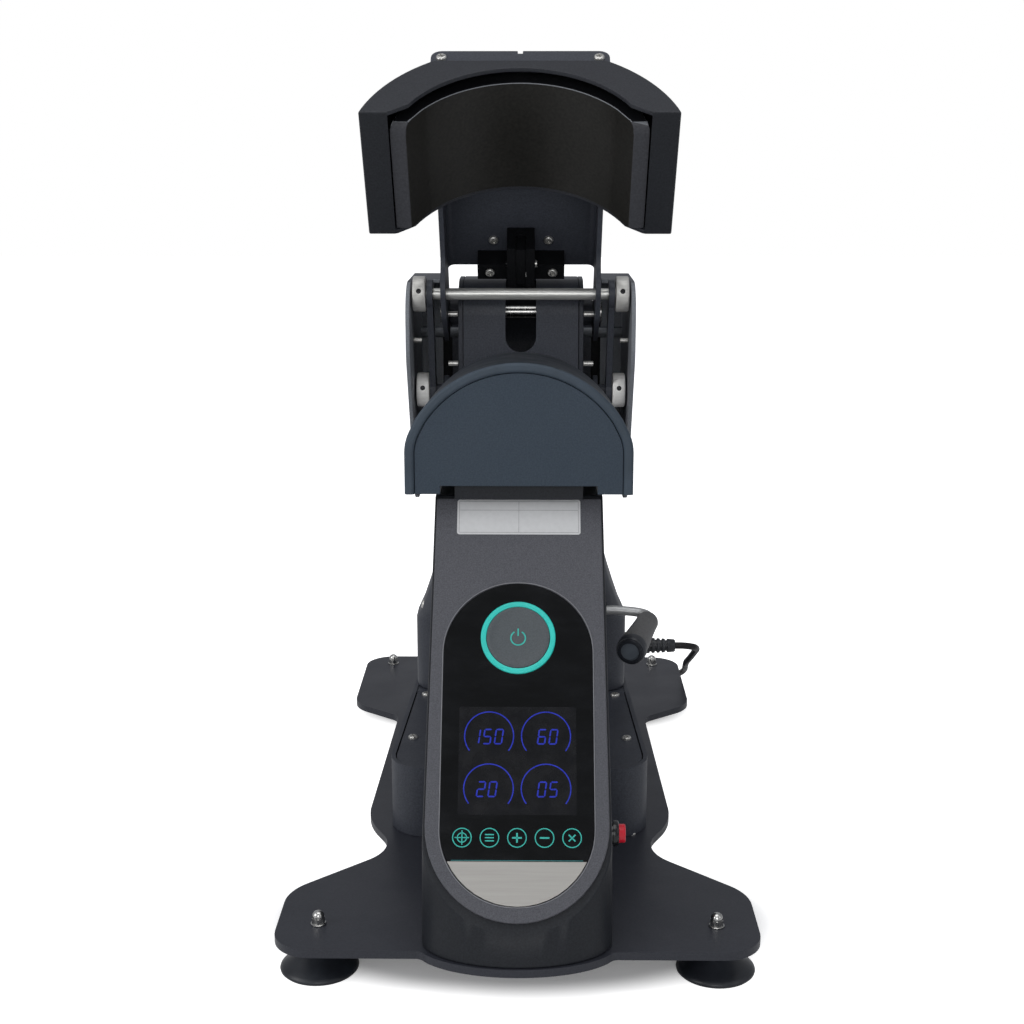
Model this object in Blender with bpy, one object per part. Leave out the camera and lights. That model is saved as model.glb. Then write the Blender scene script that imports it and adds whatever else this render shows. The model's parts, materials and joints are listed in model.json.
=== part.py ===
"""Cap heat press: base plate on suction feet, leaning console, curved bed, hinged heating head and its drive.

Units are metres. +Z is up and the console faces -Y. The origin is on the floor under the base plate's middle.
The head, its arm and the drive crank are modelled closed. Their pivots turn them open, the rest pose.
"""

import math

import bmesh
import bpy
from mathutils import Matrix, Vector

# Clearances, and how far a cutter runs past what it cuts
GAP = 0.0003
OVERRUN = 0.004

# Roundness: sides of a large turned piece, of a small one, and steps of an outline's corner
TURN_STEPS = 32
SMALL_STEPS = 16
CORNER_STEPS = 5
ARCH_STEPS = 28

# Feet and base plate
FOOT_RADIUS = 0.0248
FOOT_HEIGHT = 0.0247
FOOT_BORE = 0.0034
FOOT_OUTER_SHARES = (
    (1.0, 0.0), (1.0, 0.07), (0.93, 0.16), (0.72, 0.34), (0.50, 0.52), (0.36, 0.64), (0.36, 1.0),
)
FOOT_CUP_SHARES = ((0.0, 0.40), (0.34, 0.37), (0.66, 0.24), (0.86, 0.08), (0.92, 0.0))
PLATE_THICK = 0.005
PLATE_TOP = FOOT_HEIGHT + GAP + PLATE_THICK
PLATE_LENGTH = 0.574
PLATE_HALF_WIDTH = 0.1458
PLATE_SET_BACK = 0.0261
PLATE_FRONT_ROUND = 0.012
PLATE_REAR_SHARE = 0.967
PLATE_CORNER_SHARES = (
    (0.997, 0.1705, 0.025),
    (0.558, 0.282, 0.025),
    (0.728, 0.363, 0.05),
    (0.690, 0.7285, 0.028),
    (PLATE_REAR_SHARE, 0.775, 0.028),
    (PLATE_REAR_SHARE, 1.0, 0.031),
)
BULGE_MARGIN = 0.0042
BULGE_LIP = 0.001
BULGE_FILLET = 0.010
FRONT_BOLT_FROM_SIDE = 0.0252
FRONT_BOLT_FROM_END = 0.0284
REAR_BOLT_FROM_SIDE = 0.0237
REAR_BOLT_FROM_END = 0.0213
STUD_RADIUS = 0.003
STUD_DEPTH = 0.013
WASHER_RADIUS = 0.0075
WASHER_THICK = 0.0012
NUT_RADIUS = 0.0055
NUT_HEIGHT = 0.0085
NUT_SHARES = ((1.0, 0.5), (0.86, 0.78), (0.5, 0.95), (0.0, 1.0))

# Console column: plan with an elliptic nose, cut by the leaning face
LEAN = math.radians(34.0)
FACE_Y = -0.286
FACE_Z = 0.057
NOSE_HALF = 0.0565
NOSE_DEPTH = 0.032
COLUMN_TOP_HALF = 0.0528
COLUMN_REAR_Y = -0.075
COLUMN_REAR_RADIUS = 0.010
COLUMN_TOP_Z = 0.275
COLUMN_WALL = 0.0025
COLUMN_SOFT = 0.0012
FASCIA_THICK = 0.003
FASCIA_INSET = 0.0014
FASCIA_SOFT = 0.0009
FASCIA_SHORT = 0.001
PANEL_HALF = 0.0452
PANEL_LOW = 0.0105
PANEL_FROM_TOP = 0.0563
PANEL_SILVER = 0.0365
PANEL_PROUD = 0.0003
PANEL_SEAM = 0.0002
WINDOW_INSET = 0.004
RING_FROM_PANEL_TOP = 0.0347
RING_RADIUS = 0.0227
RING_WIDTH = 0.0032
BUTTON_PROUD = 0.0012
BUTTON_THICK = 0.0048
BUTTON_TRAVEL = 0.0015
BUTTON_SOFT = 0.0006
DISPLAY_HALF = 0.0365
DISPLAY_LENGTH_SHARE = 0.326
DISPLAY_FROM_RING = 0.041
DISPLAY_THICK = 0.006
BOARD_HALF = 0.038
BOARD_BELOW_DISPLAY = 0.005
BOARD_ABOVE_RING = 0.027
BOARD_THICK = 0.0016
SWITCH_HALF = 0.006

# Round button on the console's right side
SIDE_Y = -0.230
SIDE_Z = 0.089
SIDE_BEZEL_RADIUS = 0.0078
SIDE_BEZEL_PROUD = 0.0035
SIDE_BARREL_RADIUS = 0.0065
SIDE_BARREL_DEPTH = 0.012
SIDE_CAP_RADIUS = 0.0056
SIDE_CAP_PROUD = 0.0075
SIDE_CAP_DEPTH = 0.003
SIDE_TRAVEL = 0.0025

# Middle housing behind the console
HOUSING_TOP = 0.080
HOUSING_WALL = 0.003
HOUSING_FRONT = -0.108
HOUSING_REAR = 0.112
HOUSING_FRONT_HALF = 0.0895
HOUSING_REAR_HALF = 0.0808
HOUSING_FRONT_RADIUS = 0.026
HOUSING_REAR_RADIUS = 0.020
COVER_THICK = 0.003
COVER_DROP = 0.0006
COVER_GAP = 0.0008
POST_RADIUS = 0.0055
POST_STEPS = 12
RIB_HALF = 0.0012
POST_INSET = 0.01125
POST_FROM_FRONT = 0.059
POST_FROM_TOWER = 0.008
SCREW_BORE = 0.0018
SCREW_DEPTH = 0.008
SUPPLY_HALF = 0.048
SUPPLY_FRONT = -0.060
SUPPLY_REAR = 0.050
SUPPLY_HEADROOM = 0.0121

# Tower: a flared shell on the back of the housing
TOWER_TOP = 0.245
TOWER_WALL = 0.003
TOWER_FRONT = 0.050
TOWER_TOP_FRONT = 0.0055
TOWER_TOP_REAR = 0.108
TOWER_CORNER = 0.020
TOWER_TOP_CORNER = 0.006
TOWER_FLARE_SHARES = (
    (0.0, 0.0), (0.33, 0.0), (0.40, 0.16), (0.47, 0.28), (0.55, 0.41), (0.67, 0.58), (0.82, 0.80), (1.0, 1.0),
)

# Bed heights, which the head and its pivot follow
BED_STAND = 0.005
BED_BOTTOM = COLUMN_TOP_Z + BED_STAND
BED_CENTRE_RISE = 0.0064
BED_CENTRE_Z = BED_BOTTOM + BED_CENTRE_RISE
HEAD_LEG_RISE = 0.0301
HEAD_BOTTOM = BED_CENTRE_Z + HEAD_LEG_RISE
HEAD_CROWN_RISE = 0.0876
HEAD_TOP = BED_CENTRE_Z + HEAD_CROWN_RISE
WEB_RISE = 0.0082
WEB_LOW = HEAD_TOP + WEB_RISE

# Neck: cheeks with the pivot, cowl between them, guards outside
PIVOT_Y = 0.042
PIVOT_BELOW_WEB = 0.0097
PIVOT_Z = WEB_LOW - PIVOT_BELOW_WEB
OPEN_ANGLE = math.radians(55.0)
CHEEK_OUT = 0.0443
CHEEK_THICK = 0.0033
CHEEK_BOTTOM = PLATE_TOP + GAP
CHEEK_FRONT = 0.012
CHEEK_KNEE_DROP = 0.002
CHEEK_HIP_Y = 0.056
CHEEK_HIP_SHARE = 0.327
CHEEK_ROUND = 0.0245
CHEEK_REAR = 0.1020
CHEEK_SHOULDER_DROP = 0.0225
CHEEK_SHOULDER_ROUND = 0.020
COWL_THICK = 0.002
COWL_FRONT = 0.009
COWL_SLOT_HALF = 0.0108
COWL_SLOT_DROP = 0.0145
COWL_SLOT_REAR = 0.062
SHAFT_RADIUS = 0.0044
SHAFT_HEAD_RADIUS = 0.0075
SHAFT_HEAD_THICK = 0.003
BOSS_WALL = 0.0050
GUARD_OUT = 0.0793
GUARD_THICK = 0.003
GUARD_FLANGE_IN = 0.0570
GUARD_FRONT = -0.021
GUARD_REAR = 0.1075
GUARD_RISE = 0.0255
GUARD_TOP = PIVOT_Z + GUARD_RISE
GUARD_SKIRT = 0.013
GUARD_BOTTOM = TOWER_TOP - GUARD_SKIRT
GUARD_KNEE_DROP = 0.0255
GUARD_KNEE_Z = PIVOT_Z - GUARD_KNEE_DROP
GUARD_TOE_Y = 0.044
GUARD_FRONT_ROUND = 0.032
GUARD_REAR_ROUND = 0.036
GUARD_KNEE_ROUND = 0.026
GUARD_TOE_ROUND = 0.020
GUARD_FLANGE_START = 0.018
REAR_COVER_THICK = 0.0025
REAR_COVER_DROP = 0.026
REAR_COVER_ROUND = 0.008
STANDOFF_RADIUS = 0.004
STANDOFF_FROM_REAR = 0.0145
STANDOFF_FROM_TOP = 0.046
STANDOFF_FROM_BOTTOM = 0.022
STANDOFF_FROM_TOE = 0.016

# Linkage: a crank parallel to the arm pulls the cross rod down through two link bars
ROD_Y = -0.0397
ROD_Z = -0.0271
ROD_RADIUS = 0.004
CRANK_BACK = 0.029
CRANK_DROP = 0.0715
CRANK_Y = PIVOT_Y + CRANK_BACK
CRANK_Z = PIVOT_Z - CRANK_DROP
CRANK_SHAFT_RADIUS = 0.006
CRANK_BOSS = 0.014
CRANK_EYE = 0.0105
ARM_OUT = 0.0551
ARM_THICK = 0.0033
LINK_IN = 0.0610
LINK_THICK = 0.0042
LINK_HALF = 0.0075
LINK_EYE = 0.0100
COLLAR_IN = 0.0658
COLLAR_WIDTH = 0.0090
COLLAR_RADIUS = 0.0123
COLLAR_SOFT = 0.0008
GEARBOX_AHEAD = 0.025
GEARBOX_BEHIND = 0.027
GEARBOX_BELOW = 0.033
GEARBOX_ABOVE = 0.029
GEARBOX_SOFT = 0.004
MOTOR_RADIUS = 0.024
MOTOR_LENGTH = 0.095

# Bed: casting, silicone pad round its crown, face plate and mount
BED_FRONT = -0.156
BED_REAR = -0.068
PAD_RADIUS = 0.0756
PAD_HALF = 0.0708
PAD_THICK = 0.0062
PAD_SHOULDER_ROUND = 0.030
FACE_PLATE_THICK = 0.003
FACE_PLATE_RECESS = 0.0012
BED_NOTCH_HALF = 0.0487
BED_NOTCH_HIGH = 0.0052
MOUNT_HALF = 0.040
MOUNT_FROM_FRONT = 0.008
MOUNT_FROM_REAR = 0.012

# Head, in the closed pose
HEAD_FRONT = -0.165
HEAD_REAR = -0.072
HEAD_RADIUS = 0.103
HEAD_WALL = 0.003
HEAD_ARCH = 0.0782
HEAD_RIM_IN = 0.0808
HEAD_LEG_CUT = 0.068
HEAD_SOFT = 0.0014
HEATER_INNER = 0.0770
HEATER_THICK = 0.012
HEATER_SET_BACK = 0.010
HEATER_RAISE = 0.0085
HEATER_CORNER = 0.008
BLOCK_HALF = 0.022
BLOCK_FROM_FRONT = 0.025
BLOCK_FROM_REAR = 0.010
HEAD_COVER_HALF = 0.0568
HEAD_COVER_SET_BACK = 0.0025
HEAD_COVER_SHORT = 0.001
HEAD_COVER_RISE = 0.0142
HEAD_COVER_WALL = 0.002
HEAD_COVER_ROUND = 0.008
HEAD_COVER_NOTCH_HALF = 0.0016
HEAD_COVER_NOTCH_DEEP = 0.003

# Arm between the head and the pivot, in the closed pose
WEB_REAR = 0.0063
TONGUE_HALF = 0.046
TONGUE_REACH = 0.078
ARM_BEHIND_HEAD = 0.0015
ARM_PIVOT_ROUND = 0.0165
ARM_ROD_ROUND = 0.0125
ARM_NECK_DROP = 0.0205
ARM_NECK_ROUND = 0.006
ARM_BEND = 0.008
STOP_HALF = 0.0305
STOP_FRONT = -0.016
STOP_REAR = 0.0060
STOP_DEEP = 0.0160
CLEVIS_HALF = 0.0096
CLEVIS_FRONT = -0.042
CLEVIS_REAR = 0.0064
CLEVIS_DEEP = 0.0240
CLEVIS_ROOF = 0.0080
CLEVIS_SLOT_HALF = 0.0036

# Hand lever on the tower's right
LEVER_Y = 0.034
LEVER_Z = 0.150
LEVER_RADIUS = 0.0035
LEVER_ROOT_INSET = 0.0308
LEVER_START_X = HOUSING_REAR_HALF - LEVER_ROOT_INSET
LEVER_BRACKET_INSET = 0.0278
LEVER_BRACKET_LOW_X = HOUSING_REAR_HALF - LEVER_BRACKET_INSET
LEVER_BRACKET_LENGTH = 0.011
LEVER_BRACKET_HIGH_X = LEVER_BRACKET_LOW_X + LEVER_BRACKET_LENGTH
LEVER_BRACKET_HALF = 0.009
LEVER_BRACKET_BACK = 0.075
LEVER_REACH = 0.0460
LEVER_SHARES = (
    (0.0, 0.0, 0.0), (0.20, 0.0, 0.0), (0.42, 0.0, 0.0), (0.70, 0.0, -0.02), (0.86, -0.01, -0.04),
    (0.96, -0.07, -0.055), (1.0, -0.17, -0.072), (0.975, -0.28, -0.087),
)
LEVER_POINTS = 22
GRIP_LENGTH = 0.048
GRIP_RADIUS = 0.0100
GRIP_SHARES = ((0.66, 0.0), (0.82, 0.05), (0.82, 0.15), (1.0, 0.8), (1.0, 1.0))
GRIP_CAP_LENGTH = 0.008
GRIP_CAP_RADIUS = 0.0105
GRIP_CAP_SHARES = ((1.0, 0.0), (1.0, 0.7), (0.8, 1.0))

# Strain relief and power cord
GLAND_Y = 0.085
GLAND_Z = 0.106
GLAND_FLANGE_RADIUS = 0.0105
GLAND_FLANGE_THICK = 0.003
GLAND_LENGTH = 0.040
GLAND_ROOT_RADIUS = 0.0072
GLAND_TIP_RADIUS = 0.0050
CORD_RADIUS = 0.0027
CORD_LENGTH = 1.8
CORD_LIFT = 0.0030
CORD_ROUTE = (
    (0.1290, 0.0854, 0.1058), (0.1360, 0.0892, 0.1036), (0.1398, 0.1010, 0.0982), (0.1404, 0.1210, 0.0890),
    (0.1404, 0.1500, 0.0752), (0.1412, 0.1850, 0.0602), (0.1436, 0.2180, 0.0472), (0.1462, 0.2480, 0.0352),
    (0.1478, 0.2740, 0.0222), (0.1440, 0.2960, 0.0108), (0.1320, 0.3040, 0.0044), (0.1140, 0.3032, 0.0031),
    (0.0900, 0.3012, 0.0030), (0.0600, 0.3008, 0.0030), (0.0360, 0.3008, 0.0030),
)
CORD_POINTS = 50
COIL_X = 0.020
COIL_Y = 0.343
COIL_MID_RADIUS = 0.0325
COIL_PITCH = 0.0062
COIL_TURNS = 6.25
COIL_LOOP_POINTS = 24
COIL_LAYERS = 2
TAIL_ROUTE = (
    (-0.0003, 0.010, 0.0), (-0.0040, 0.032, 0.0015), (-0.0140, 0.062, 0.0035), (-0.0240, 0.094, 0.0046),
    (-0.0300, 0.126, 0.0048), (-0.0310, 0.144, 0.0048), (-0.0310, 0.152, 0.0048),
)
TAIL_POINTS = 12

# Plug on the end of the cord, with two blades and an earth pin
PLUG_LENGTH = 0.046
PLUG_HALF = 0.0138
PLUG_SHARES = ((0.0, 0.36), (0.30, 0.44), (0.36, 0.60), (0.44, 0.86), (0.54, 0.97), (0.92, 1.0), (1.0, 0.94))
PLUG_ROUND = 0.0050
BLADE_REACH = 0.0170
BLADE_HALF_THICK = 0.00075
BLADE_HALF_HIGH = 0.00315
BLADE_SPACING = 0.0127
BLADE_LINE = 0.0042
EARTH_RADIUS = 0.0024
EARTH_LINE = 0.0077

# Finishes: colour, roughness, metallic
FINISHES = {
    "black_paint": ((0.020, 0.021, 0.023), 0.50, 0.0),
    "charcoal_paint": ((0.040, 0.042, 0.046), 0.55, 0.0),
    "fascia_plastic": ((0.090, 0.094, 0.100), 0.65, 0.0),
    "bed_paint": ((0.048, 0.055, 0.066), 0.60, 0.0),
    "heater_coating": ((0.016, 0.016, 0.014), 0.30, 0.2),
    "panel_glass": ((0.004, 0.004, 0.006), 0.08, 0.0),
    "brushed_trim": ((0.42, 0.40, 0.38), 0.35, 1.0),
    "teal_ring": ((0.03, 0.62, 0.52), 0.35, 0.0),
    "grey_plastic": ((0.13, 0.13, 0.135), 0.50, 0.0),
    "red_plastic": ((0.70, 0.02, 0.03), 0.35, 0.0),
    "polished_steel": ((0.60, 0.60, 0.60), 0.22, 1.0),
    "cast_metal": ((0.30, 0.31, 0.32), 0.50, 1.0),
    "silicone": ((0.060, 0.058, 0.056), 0.70, 0.0),
    "black_rubber": ((0.012, 0.012, 0.013), 0.75, 0.0),
    "circuit_board": ((0.01, 0.13, 0.05), 0.50, 0.0),
}


def clear_scene():
    for item in list(bpy.data.objects):
        bpy.data.objects.remove(item)


def finish_of(name, kind):
    colour, roughness, metallic = FINISHES[kind]
    made = bpy.data.materials.new(name)
    made.use_nodes = True
    shader = made.node_tree.nodes["Principled BSDF"]
    shader.inputs["Base Color"].default_value = (*colour, 1.0)
    shader.inputs["Roughness"].default_value = roughness
    shader.inputs["Metallic"].default_value = metallic
    return made


def add_object(name, data, kind, parent=None):
    made = bpy.data.objects.new(name, data)
    bpy.context.scene.collection.objects.link(made)
    if kind:
        data.materials.append(finish_of(name, kind))
    if parent:
        made.parent = parent
    return made


def piece(name, bm, kind, parent=None, location=None, smooth=30.0):
    """Turns a bmesh into a named object; parent is the empty on its joint or face."""
    bmesh.ops.recalc_face_normals(bm, faces=bm.faces)
    mesh = bpy.data.meshes.new(name)
    bm.to_mesh(mesh)
    bm.free()
    mesh.shade_smooth()
    mesh.set_sharp_from_angle(angle=math.radians(smooth))
    made = add_object(name, mesh, kind, parent)
    if location:
        made.location = location
    return made


def again(name, source, location, parent=None):
    """Another copy of a repeated piece, which shares its mesh."""
    made = add_object(name, source.data, None, parent)
    made.location = location
    return made


def empty(name, location, tilt=0.0, parent=None):
    made = add_object(name, None, None, parent)
    made.location = location
    made.rotation_euler = (tilt, 0.0, 0.0)
    return made


def cutter(name, bm, parent=None, location=None):
    made = piece(name, bm, None, parent, location)
    made.hide_render = True
    made.display_type = "WIRE"
    return made


def cut(target, tool):
    change = target.modifiers.new("cut " + tool.name, "BOOLEAN")
    change.operation = "DIFFERENCE"
    change.object = tool
    return target


def fuse(target, tool):
    change = target.modifiers.new("join " + tool.name, "BOOLEAN")
    change.operation = "UNION"
    change.object = tool
    return target


def soften(target, width, segments=2, angle=40.0):
    change = target.modifiers.new("rounded edges", "BEVEL")
    change.width = width
    change.segments = segments
    change.limit_method = "ANGLE"
    change.angle_limit = math.radians(angle)
    change.use_clamp_overlap = True
    return target


def spot(axis, a, b, c):
    """The point with c along the named axis and a, b along the other two, in X, Y, Z order."""
    return {"X": (c, a, b), "Y": (a, c, b), "Z": (a, b, c)}[axis]


def add_prism(bm, outline, axis, low, high):
    ring = [bm.verts.new(spot(axis, a, b, low)) for a, b in outline]
    face = bm.faces.new(ring)
    moved = bmesh.ops.extrude_face_region(bm, geom=[face])["geom"]
    top = [item for item in moved if isinstance(item, bmesh.types.BMVert)]
    bmesh.ops.translate(bm, vec=spot(axis, 0.0, 0.0, high - low), verts=top)
    return bm


def prism(outline, axis, low, high):
    return add_prism(bmesh.new(), outline, axis, low, high)


def box(low, high):
    outline = [(low[0], low[1]), (high[0], low[1]), (high[0], high[1]), (low[0], high[1])]
    return prism(outline, "Z", low[2], high[2])


def add_lathe(bm, profile, axis, centre, steps):
    """Turns a closed profile of (radius, place along the axis) about an axis through centre."""
    start = {"X": (0, 1, 2), "Y": (1, 2, 0), "Z": (2, 0, 1)}[axis]
    verts = []
    for radius, along in profile:
        point = [0.0, 0.0, 0.0]
        point[start[0]] = along
        point[start[1]] = radius
        verts.append(bm.verts.new(Vector(point) + Vector(centre)))
    edges = [bm.edges.new((verts[i], verts[(i + 1) % len(verts)])) for i in range(len(verts))]
    direction = Vector((0.0, 0.0, 0.0))
    direction[start[0]] = 1.0
    bmesh.ops.spin(bm, geom=verts + edges, cent=centre, axis=direction, angle=math.tau, steps=steps,
                   use_merge=True)
    bmesh.ops.remove_doubles(bm, verts=bm.verts, dist=GAP / 100)
    loose = [edge for edge in bm.edges if not edge.link_faces]
    bmesh.ops.delete(bm, geom=loose, context="EDGES")
    return bm


def lathe(profile, axis="Z", centre=(0.0, 0.0, 0.0), steps=TURN_STEPS):
    return add_lathe(bmesh.new(), profile, axis, centre, steps)


def rod_profile(radius, low, high, soft=0.0):
    if not soft:
        return [(0.0, low), (radius, low), (radius, high), (0.0, high)]
    return [(0.0, low), (radius - soft, low), (radius, low + soft), (radius, high - soft),
            (radius - soft, high), (0.0, high)]


def ring_profile(inner, outer, low, high, soft=0.0):
    if not soft:
        return [(inner, low), (outer, low), (outer, high), (inner, high)]
    return [(inner, low), (outer - soft, low), (outer, low + soft), (outer, high - soft),
            (outer - soft, high), (inner, high)]


def cylinder(radius, axis, centre, low, high, steps=SMALL_STEPS):
    return lathe(rod_profile(radius, low, high), axis, centre, steps)


def arc(centre, radius, start, end, steps):
    """Points of a circle between two angles in degrees, from the first axis towards the second."""
    return [
        (
            centre[0] + radius * math.cos(math.radians(start + (end - start) * i / steps)),
            centre[1] + radius * math.sin(math.radians(start + (end - start) * i / steps)),
        )
        for i in range(steps + 1)
    ]


def rounded(corners, steps=CORNER_STEPS):
    """An outline through (a, b, radius) corners, each rounded as far as its sides allow."""
    points = []
    count = len(corners)
    for i, (a, b, radius) in enumerate(corners):
        here = Vector((a, b))
        before = Vector(corners[i - 1][:2]) - here
        after = Vector(corners[(i + 1) % count][:2]) - here
        turn = before.angle(after)
        if radius <= 0 or turn > math.pi - 0.02:
            points.append((a, b))
            continue
        reach = min(radius / math.tan(turn / 2), before.length * 0.49, after.length * 0.49)
        radius = reach * math.tan(turn / 2)
        inward = (before.normalized() + after.normalized()).normalized()
        middle = here + inward * (radius / math.sin(turn / 2))
        first = here + before.normalized() * reach - middle
        last = here + after.normalized() * reach - middle
        swing = first.angle_signed(last)
        for j in range(steps + 1):
            turned = Matrix.Rotation(-swing * j / steps, 2) @ first
            points.append(tuple(middle + turned))
    return points


def mirrored(half):
    """A closed outline from its right half, listed from the front round to the back."""
    return half + [(-a, b) for a, b in reversed(half) if abs(a) > GAP]


def loft(rings):
    """A closed body through rings of equally many points."""
    bm = bmesh.new()
    rows = [[bm.verts.new(point) for point in ring] for ring in rings]
    for lower, upper in zip(rows, rows[1:]):
        for i in range(len(lower)):
            j = (i + 1) % len(lower)
            bm.faces.new((lower[i], lower[j], upper[j], upper[i]))
    bm.faces.new(rows[0])
    bm.faces.new(rows[-1])
    return bm


def smooth_curve(route, count):
    """Equally spaced points on a smooth curve through the route."""
    fine = []
    for i in range(len(route) - 1):
        p0, p1, p2, p3 = (Vector(route[min(max(i + k, 0), len(route) - 1)]) for k in (-1, 0, 1, 2))
        for j in range(24):
            t = j / 24
            fine.append(0.5 * (2 * p1 + (p2 - p0) * t + (2 * p0 - 5 * p1 + 4 * p2 - p3) * t**2
                               + (3 * p1 - p0 - 3 * p2 + p3) * t**3))
    fine.append(Vector(route[-1]))
    return evenly(fine, count)


def path_length(points):
    return sum((b - a).length for a, b in zip(points, points[1:]))


def evenly(points, count):
    """Reads count equally spaced points off a fine path."""
    total = path_length(points)
    read = [points[0]]
    walked = 0.0
    for a, b in zip(points, points[1:]):
        step = (b - a).length
        while len(read) < count - 1 and walked + step >= total * len(read) / (count - 1):
            read.append(a.lerp(b, (total * len(read) / (count - 1) - walked) / step))
        walked += step
    return read + [points[-1]]


def tube(name, points, radius, kind, resolution=2, parent=None):
    data = bpy.data.curves.new(name, "CURVE")
    data.dimensions = "3D"
    data.bevel_depth = radius
    data.bevel_resolution = resolution
    data.use_fill_caps = True
    line = data.splines.new("POLY")
    line.points.add(len(points) - 1)
    for point, place in zip(line.points, points):
        point.co = (*place, 1.0)
    return add_object(name, data, kind, parent)


def both_sides(low, high):
    return ((low, high), (-high, -low))


# Base plate and feet


def plate_tip():
    return FACE_Y - BULGE_LIP


def bolt_places():
    front_x = PLATE_HALF_WIDTH - FRONT_BOLT_FROM_SIDE
    front_y = plate_tip() + PLATE_SET_BACK + FRONT_BOLT_FROM_END
    rear_x = PLATE_HALF_WIDTH * PLATE_REAR_SHARE - REAR_BOLT_FROM_SIDE
    rear_y = plate_tip() + PLATE_LENGTH - REAR_BOLT_FROM_END
    return [(-front_x, front_y), (front_x, front_y), (-rear_x, rear_y), (rear_x, rear_y)]


def plate_outline():
    """A waisted outline whose front edge bulges round the console's nose."""
    half = []
    nose_y = FACE_Y + NOSE_DEPTH
    depth = NOSE_DEPTH + BULGE_LIP
    front = plate_tip() + PLATE_SET_BACK
    width = NOSE_HALF + BULGE_MARGIN
    last = math.asin(min((nose_y - front) / depth, 1.0))
    for i in range(9):
        angle = math.pi / 2 + (last - math.pi / 2) * i / 8
        half.append((width * math.cos(angle), nose_y - depth * math.sin(angle), 0.0))
    half[-1] = (half[-1][0], front, BULGE_FILLET)
    half[0] = (0.0, plate_tip(), 0.0)
    half.append((PLATE_HALF_WIDTH, front, PLATE_FRONT_ROUND))
    for across, along, turn in PLATE_CORNER_SHARES:
        half.append((across * PLATE_HALF_WIDTH, plate_tip() + along * PLATE_LENGTH, turn * PLATE_LENGTH))
    whole = half + [(-a, b, r) for a, b, r in reversed(half[1:])]
    return rounded(whole)


def make_base():
    top = PLATE_TOP
    plate = piece("base_plate", prism(plate_outline(), "Z", FOOT_HEIGHT + GAP, top), "charcoal_paint")
    holes = bmesh.new()
    for x, y in bolt_places():
        add_lathe(holes, rod_profile(STUD_RADIUS + GAP, 0.0, top + OVERRUN), "Z", (x, y, 0.0), SMALL_STEPS)
    cut(plate, cutter("plate_holes", holes))
    inner = [(share * FOOT_RADIUS, high * FOOT_HEIGHT) for share, high in FOOT_CUP_SHARES]
    outer = [(share * FOOT_RADIUS, high * FOOT_HEIGHT) for share, high in FOOT_OUTER_SHARES]
    stud_low = FOOT_HEIGHT - STUD_DEPTH
    neck = [(FOOT_BORE, FOOT_HEIGHT), (FOOT_BORE, stud_low - GAP), (0.0, stud_low - GAP)]
    seat = top + GAP
    nut = seat + WASHER_THICK
    profile = [(0.0, stud_low), (STUD_RADIUS, stud_low), (STUD_RADIUS, seat), (WASHER_RADIUS, seat),
               (WASHER_RADIUS, nut), (NUT_RADIUS, nut)]
    profile += [(share * NUT_RADIUS, nut + high * NUT_HEIGHT) for share, high in NUT_SHARES]
    places = list(zip(("front_left", "front_right", "rear_left", "rear_right"), bolt_places()))
    first = places[0][1]
    outline = lathe(inner + outer + neck, steps=18)
    foot = piece("foot_front_left", outline, "black_rubber", location=(*first, 0.0))
    nut = piece("foot_nut_front_left", lathe(profile, steps=12), "polished_steel", location=(*first, 0.0))
    for name, place in places[1:]:
        again("foot_" + name, foot, (*place, 0.0))
        again("foot_nut_" + name, nut, (*place, 0.0))


# Console


def column_half(z):
    share = (z - PLATE_TOP) / (COLUMN_TOP_Z - PLATE_TOP)
    return NOSE_HALF + (COLUMN_TOP_HALF - NOSE_HALF) * share


def quarter_oval(half, middle, depth, steps):
    """From the nose's tip round to its right side."""
    turns = [math.pi / 2 * i / steps for i in range(steps + 1)]
    return [(half * math.sin(turn), middle - depth * math.cos(turn)) for turn in turns]


def column_ring(z, inset):
    half_width = column_half(z) - inset
    middle = FACE_Y + NOSE_DEPTH
    nose = quarter_oval(half_width, middle, NOSE_DEPTH - inset, 12)
    rear = rounded([(0.0, COLUMN_REAR_Y - inset, 0.0), (half_width, middle, 0.0),
                    (half_width, COLUMN_REAR_Y - inset, COLUMN_REAR_RADIUS)])[2:]
    return [(x, y, z) for x, y in mirrored(nose + rear)]


def column_block(inset, low, high, face_depth):
    """The column's solid, its walls and leaning face set in by inset and face_depth."""
    bm = loft([column_ring(low, inset), column_ring(high, inset)])
    normal = Vector((0.0, -math.cos(LEAN), math.sin(LEAN)))
    point = Vector((0.0, FACE_Y, FACE_Z)) - normal * face_depth
    geometry = bm.verts[:] + bm.edges[:] + bm.faces[:]
    bmesh.ops.bisect_plane(bm, geom=geometry, plane_co=point, plane_no=normal, clear_outer=True)
    border = [edge for edge in bm.edges if edge.is_boundary]
    bmesh.ops.contextual_create(bm, geom=border)
    return bm


def nose_rise():
    return NOSE_DEPTH / math.sin(LEAN)


def face_half(length):
    return column_half(FACE_Z + length * math.cos(LEAN))


def fascia_outline():
    rise = nose_rise()
    nose = quarter_oval(face_half(rise) - FASCIA_INSET, rise, rise - FASCIA_INSET, 14)
    length = fascia_length()
    return mirrored(nose + [(face_half(length) - FASCIA_INSET, length)])


def fascia_length():
    return (COLUMN_TOP_Z - FACE_Z) / math.cos(LEAN) - FASCIA_SHORT


def panel_top():
    return fascia_length() - PANEL_FROM_TOP


def ring_centre():
    return panel_top() - RING_FROM_PANEL_TOP


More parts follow.
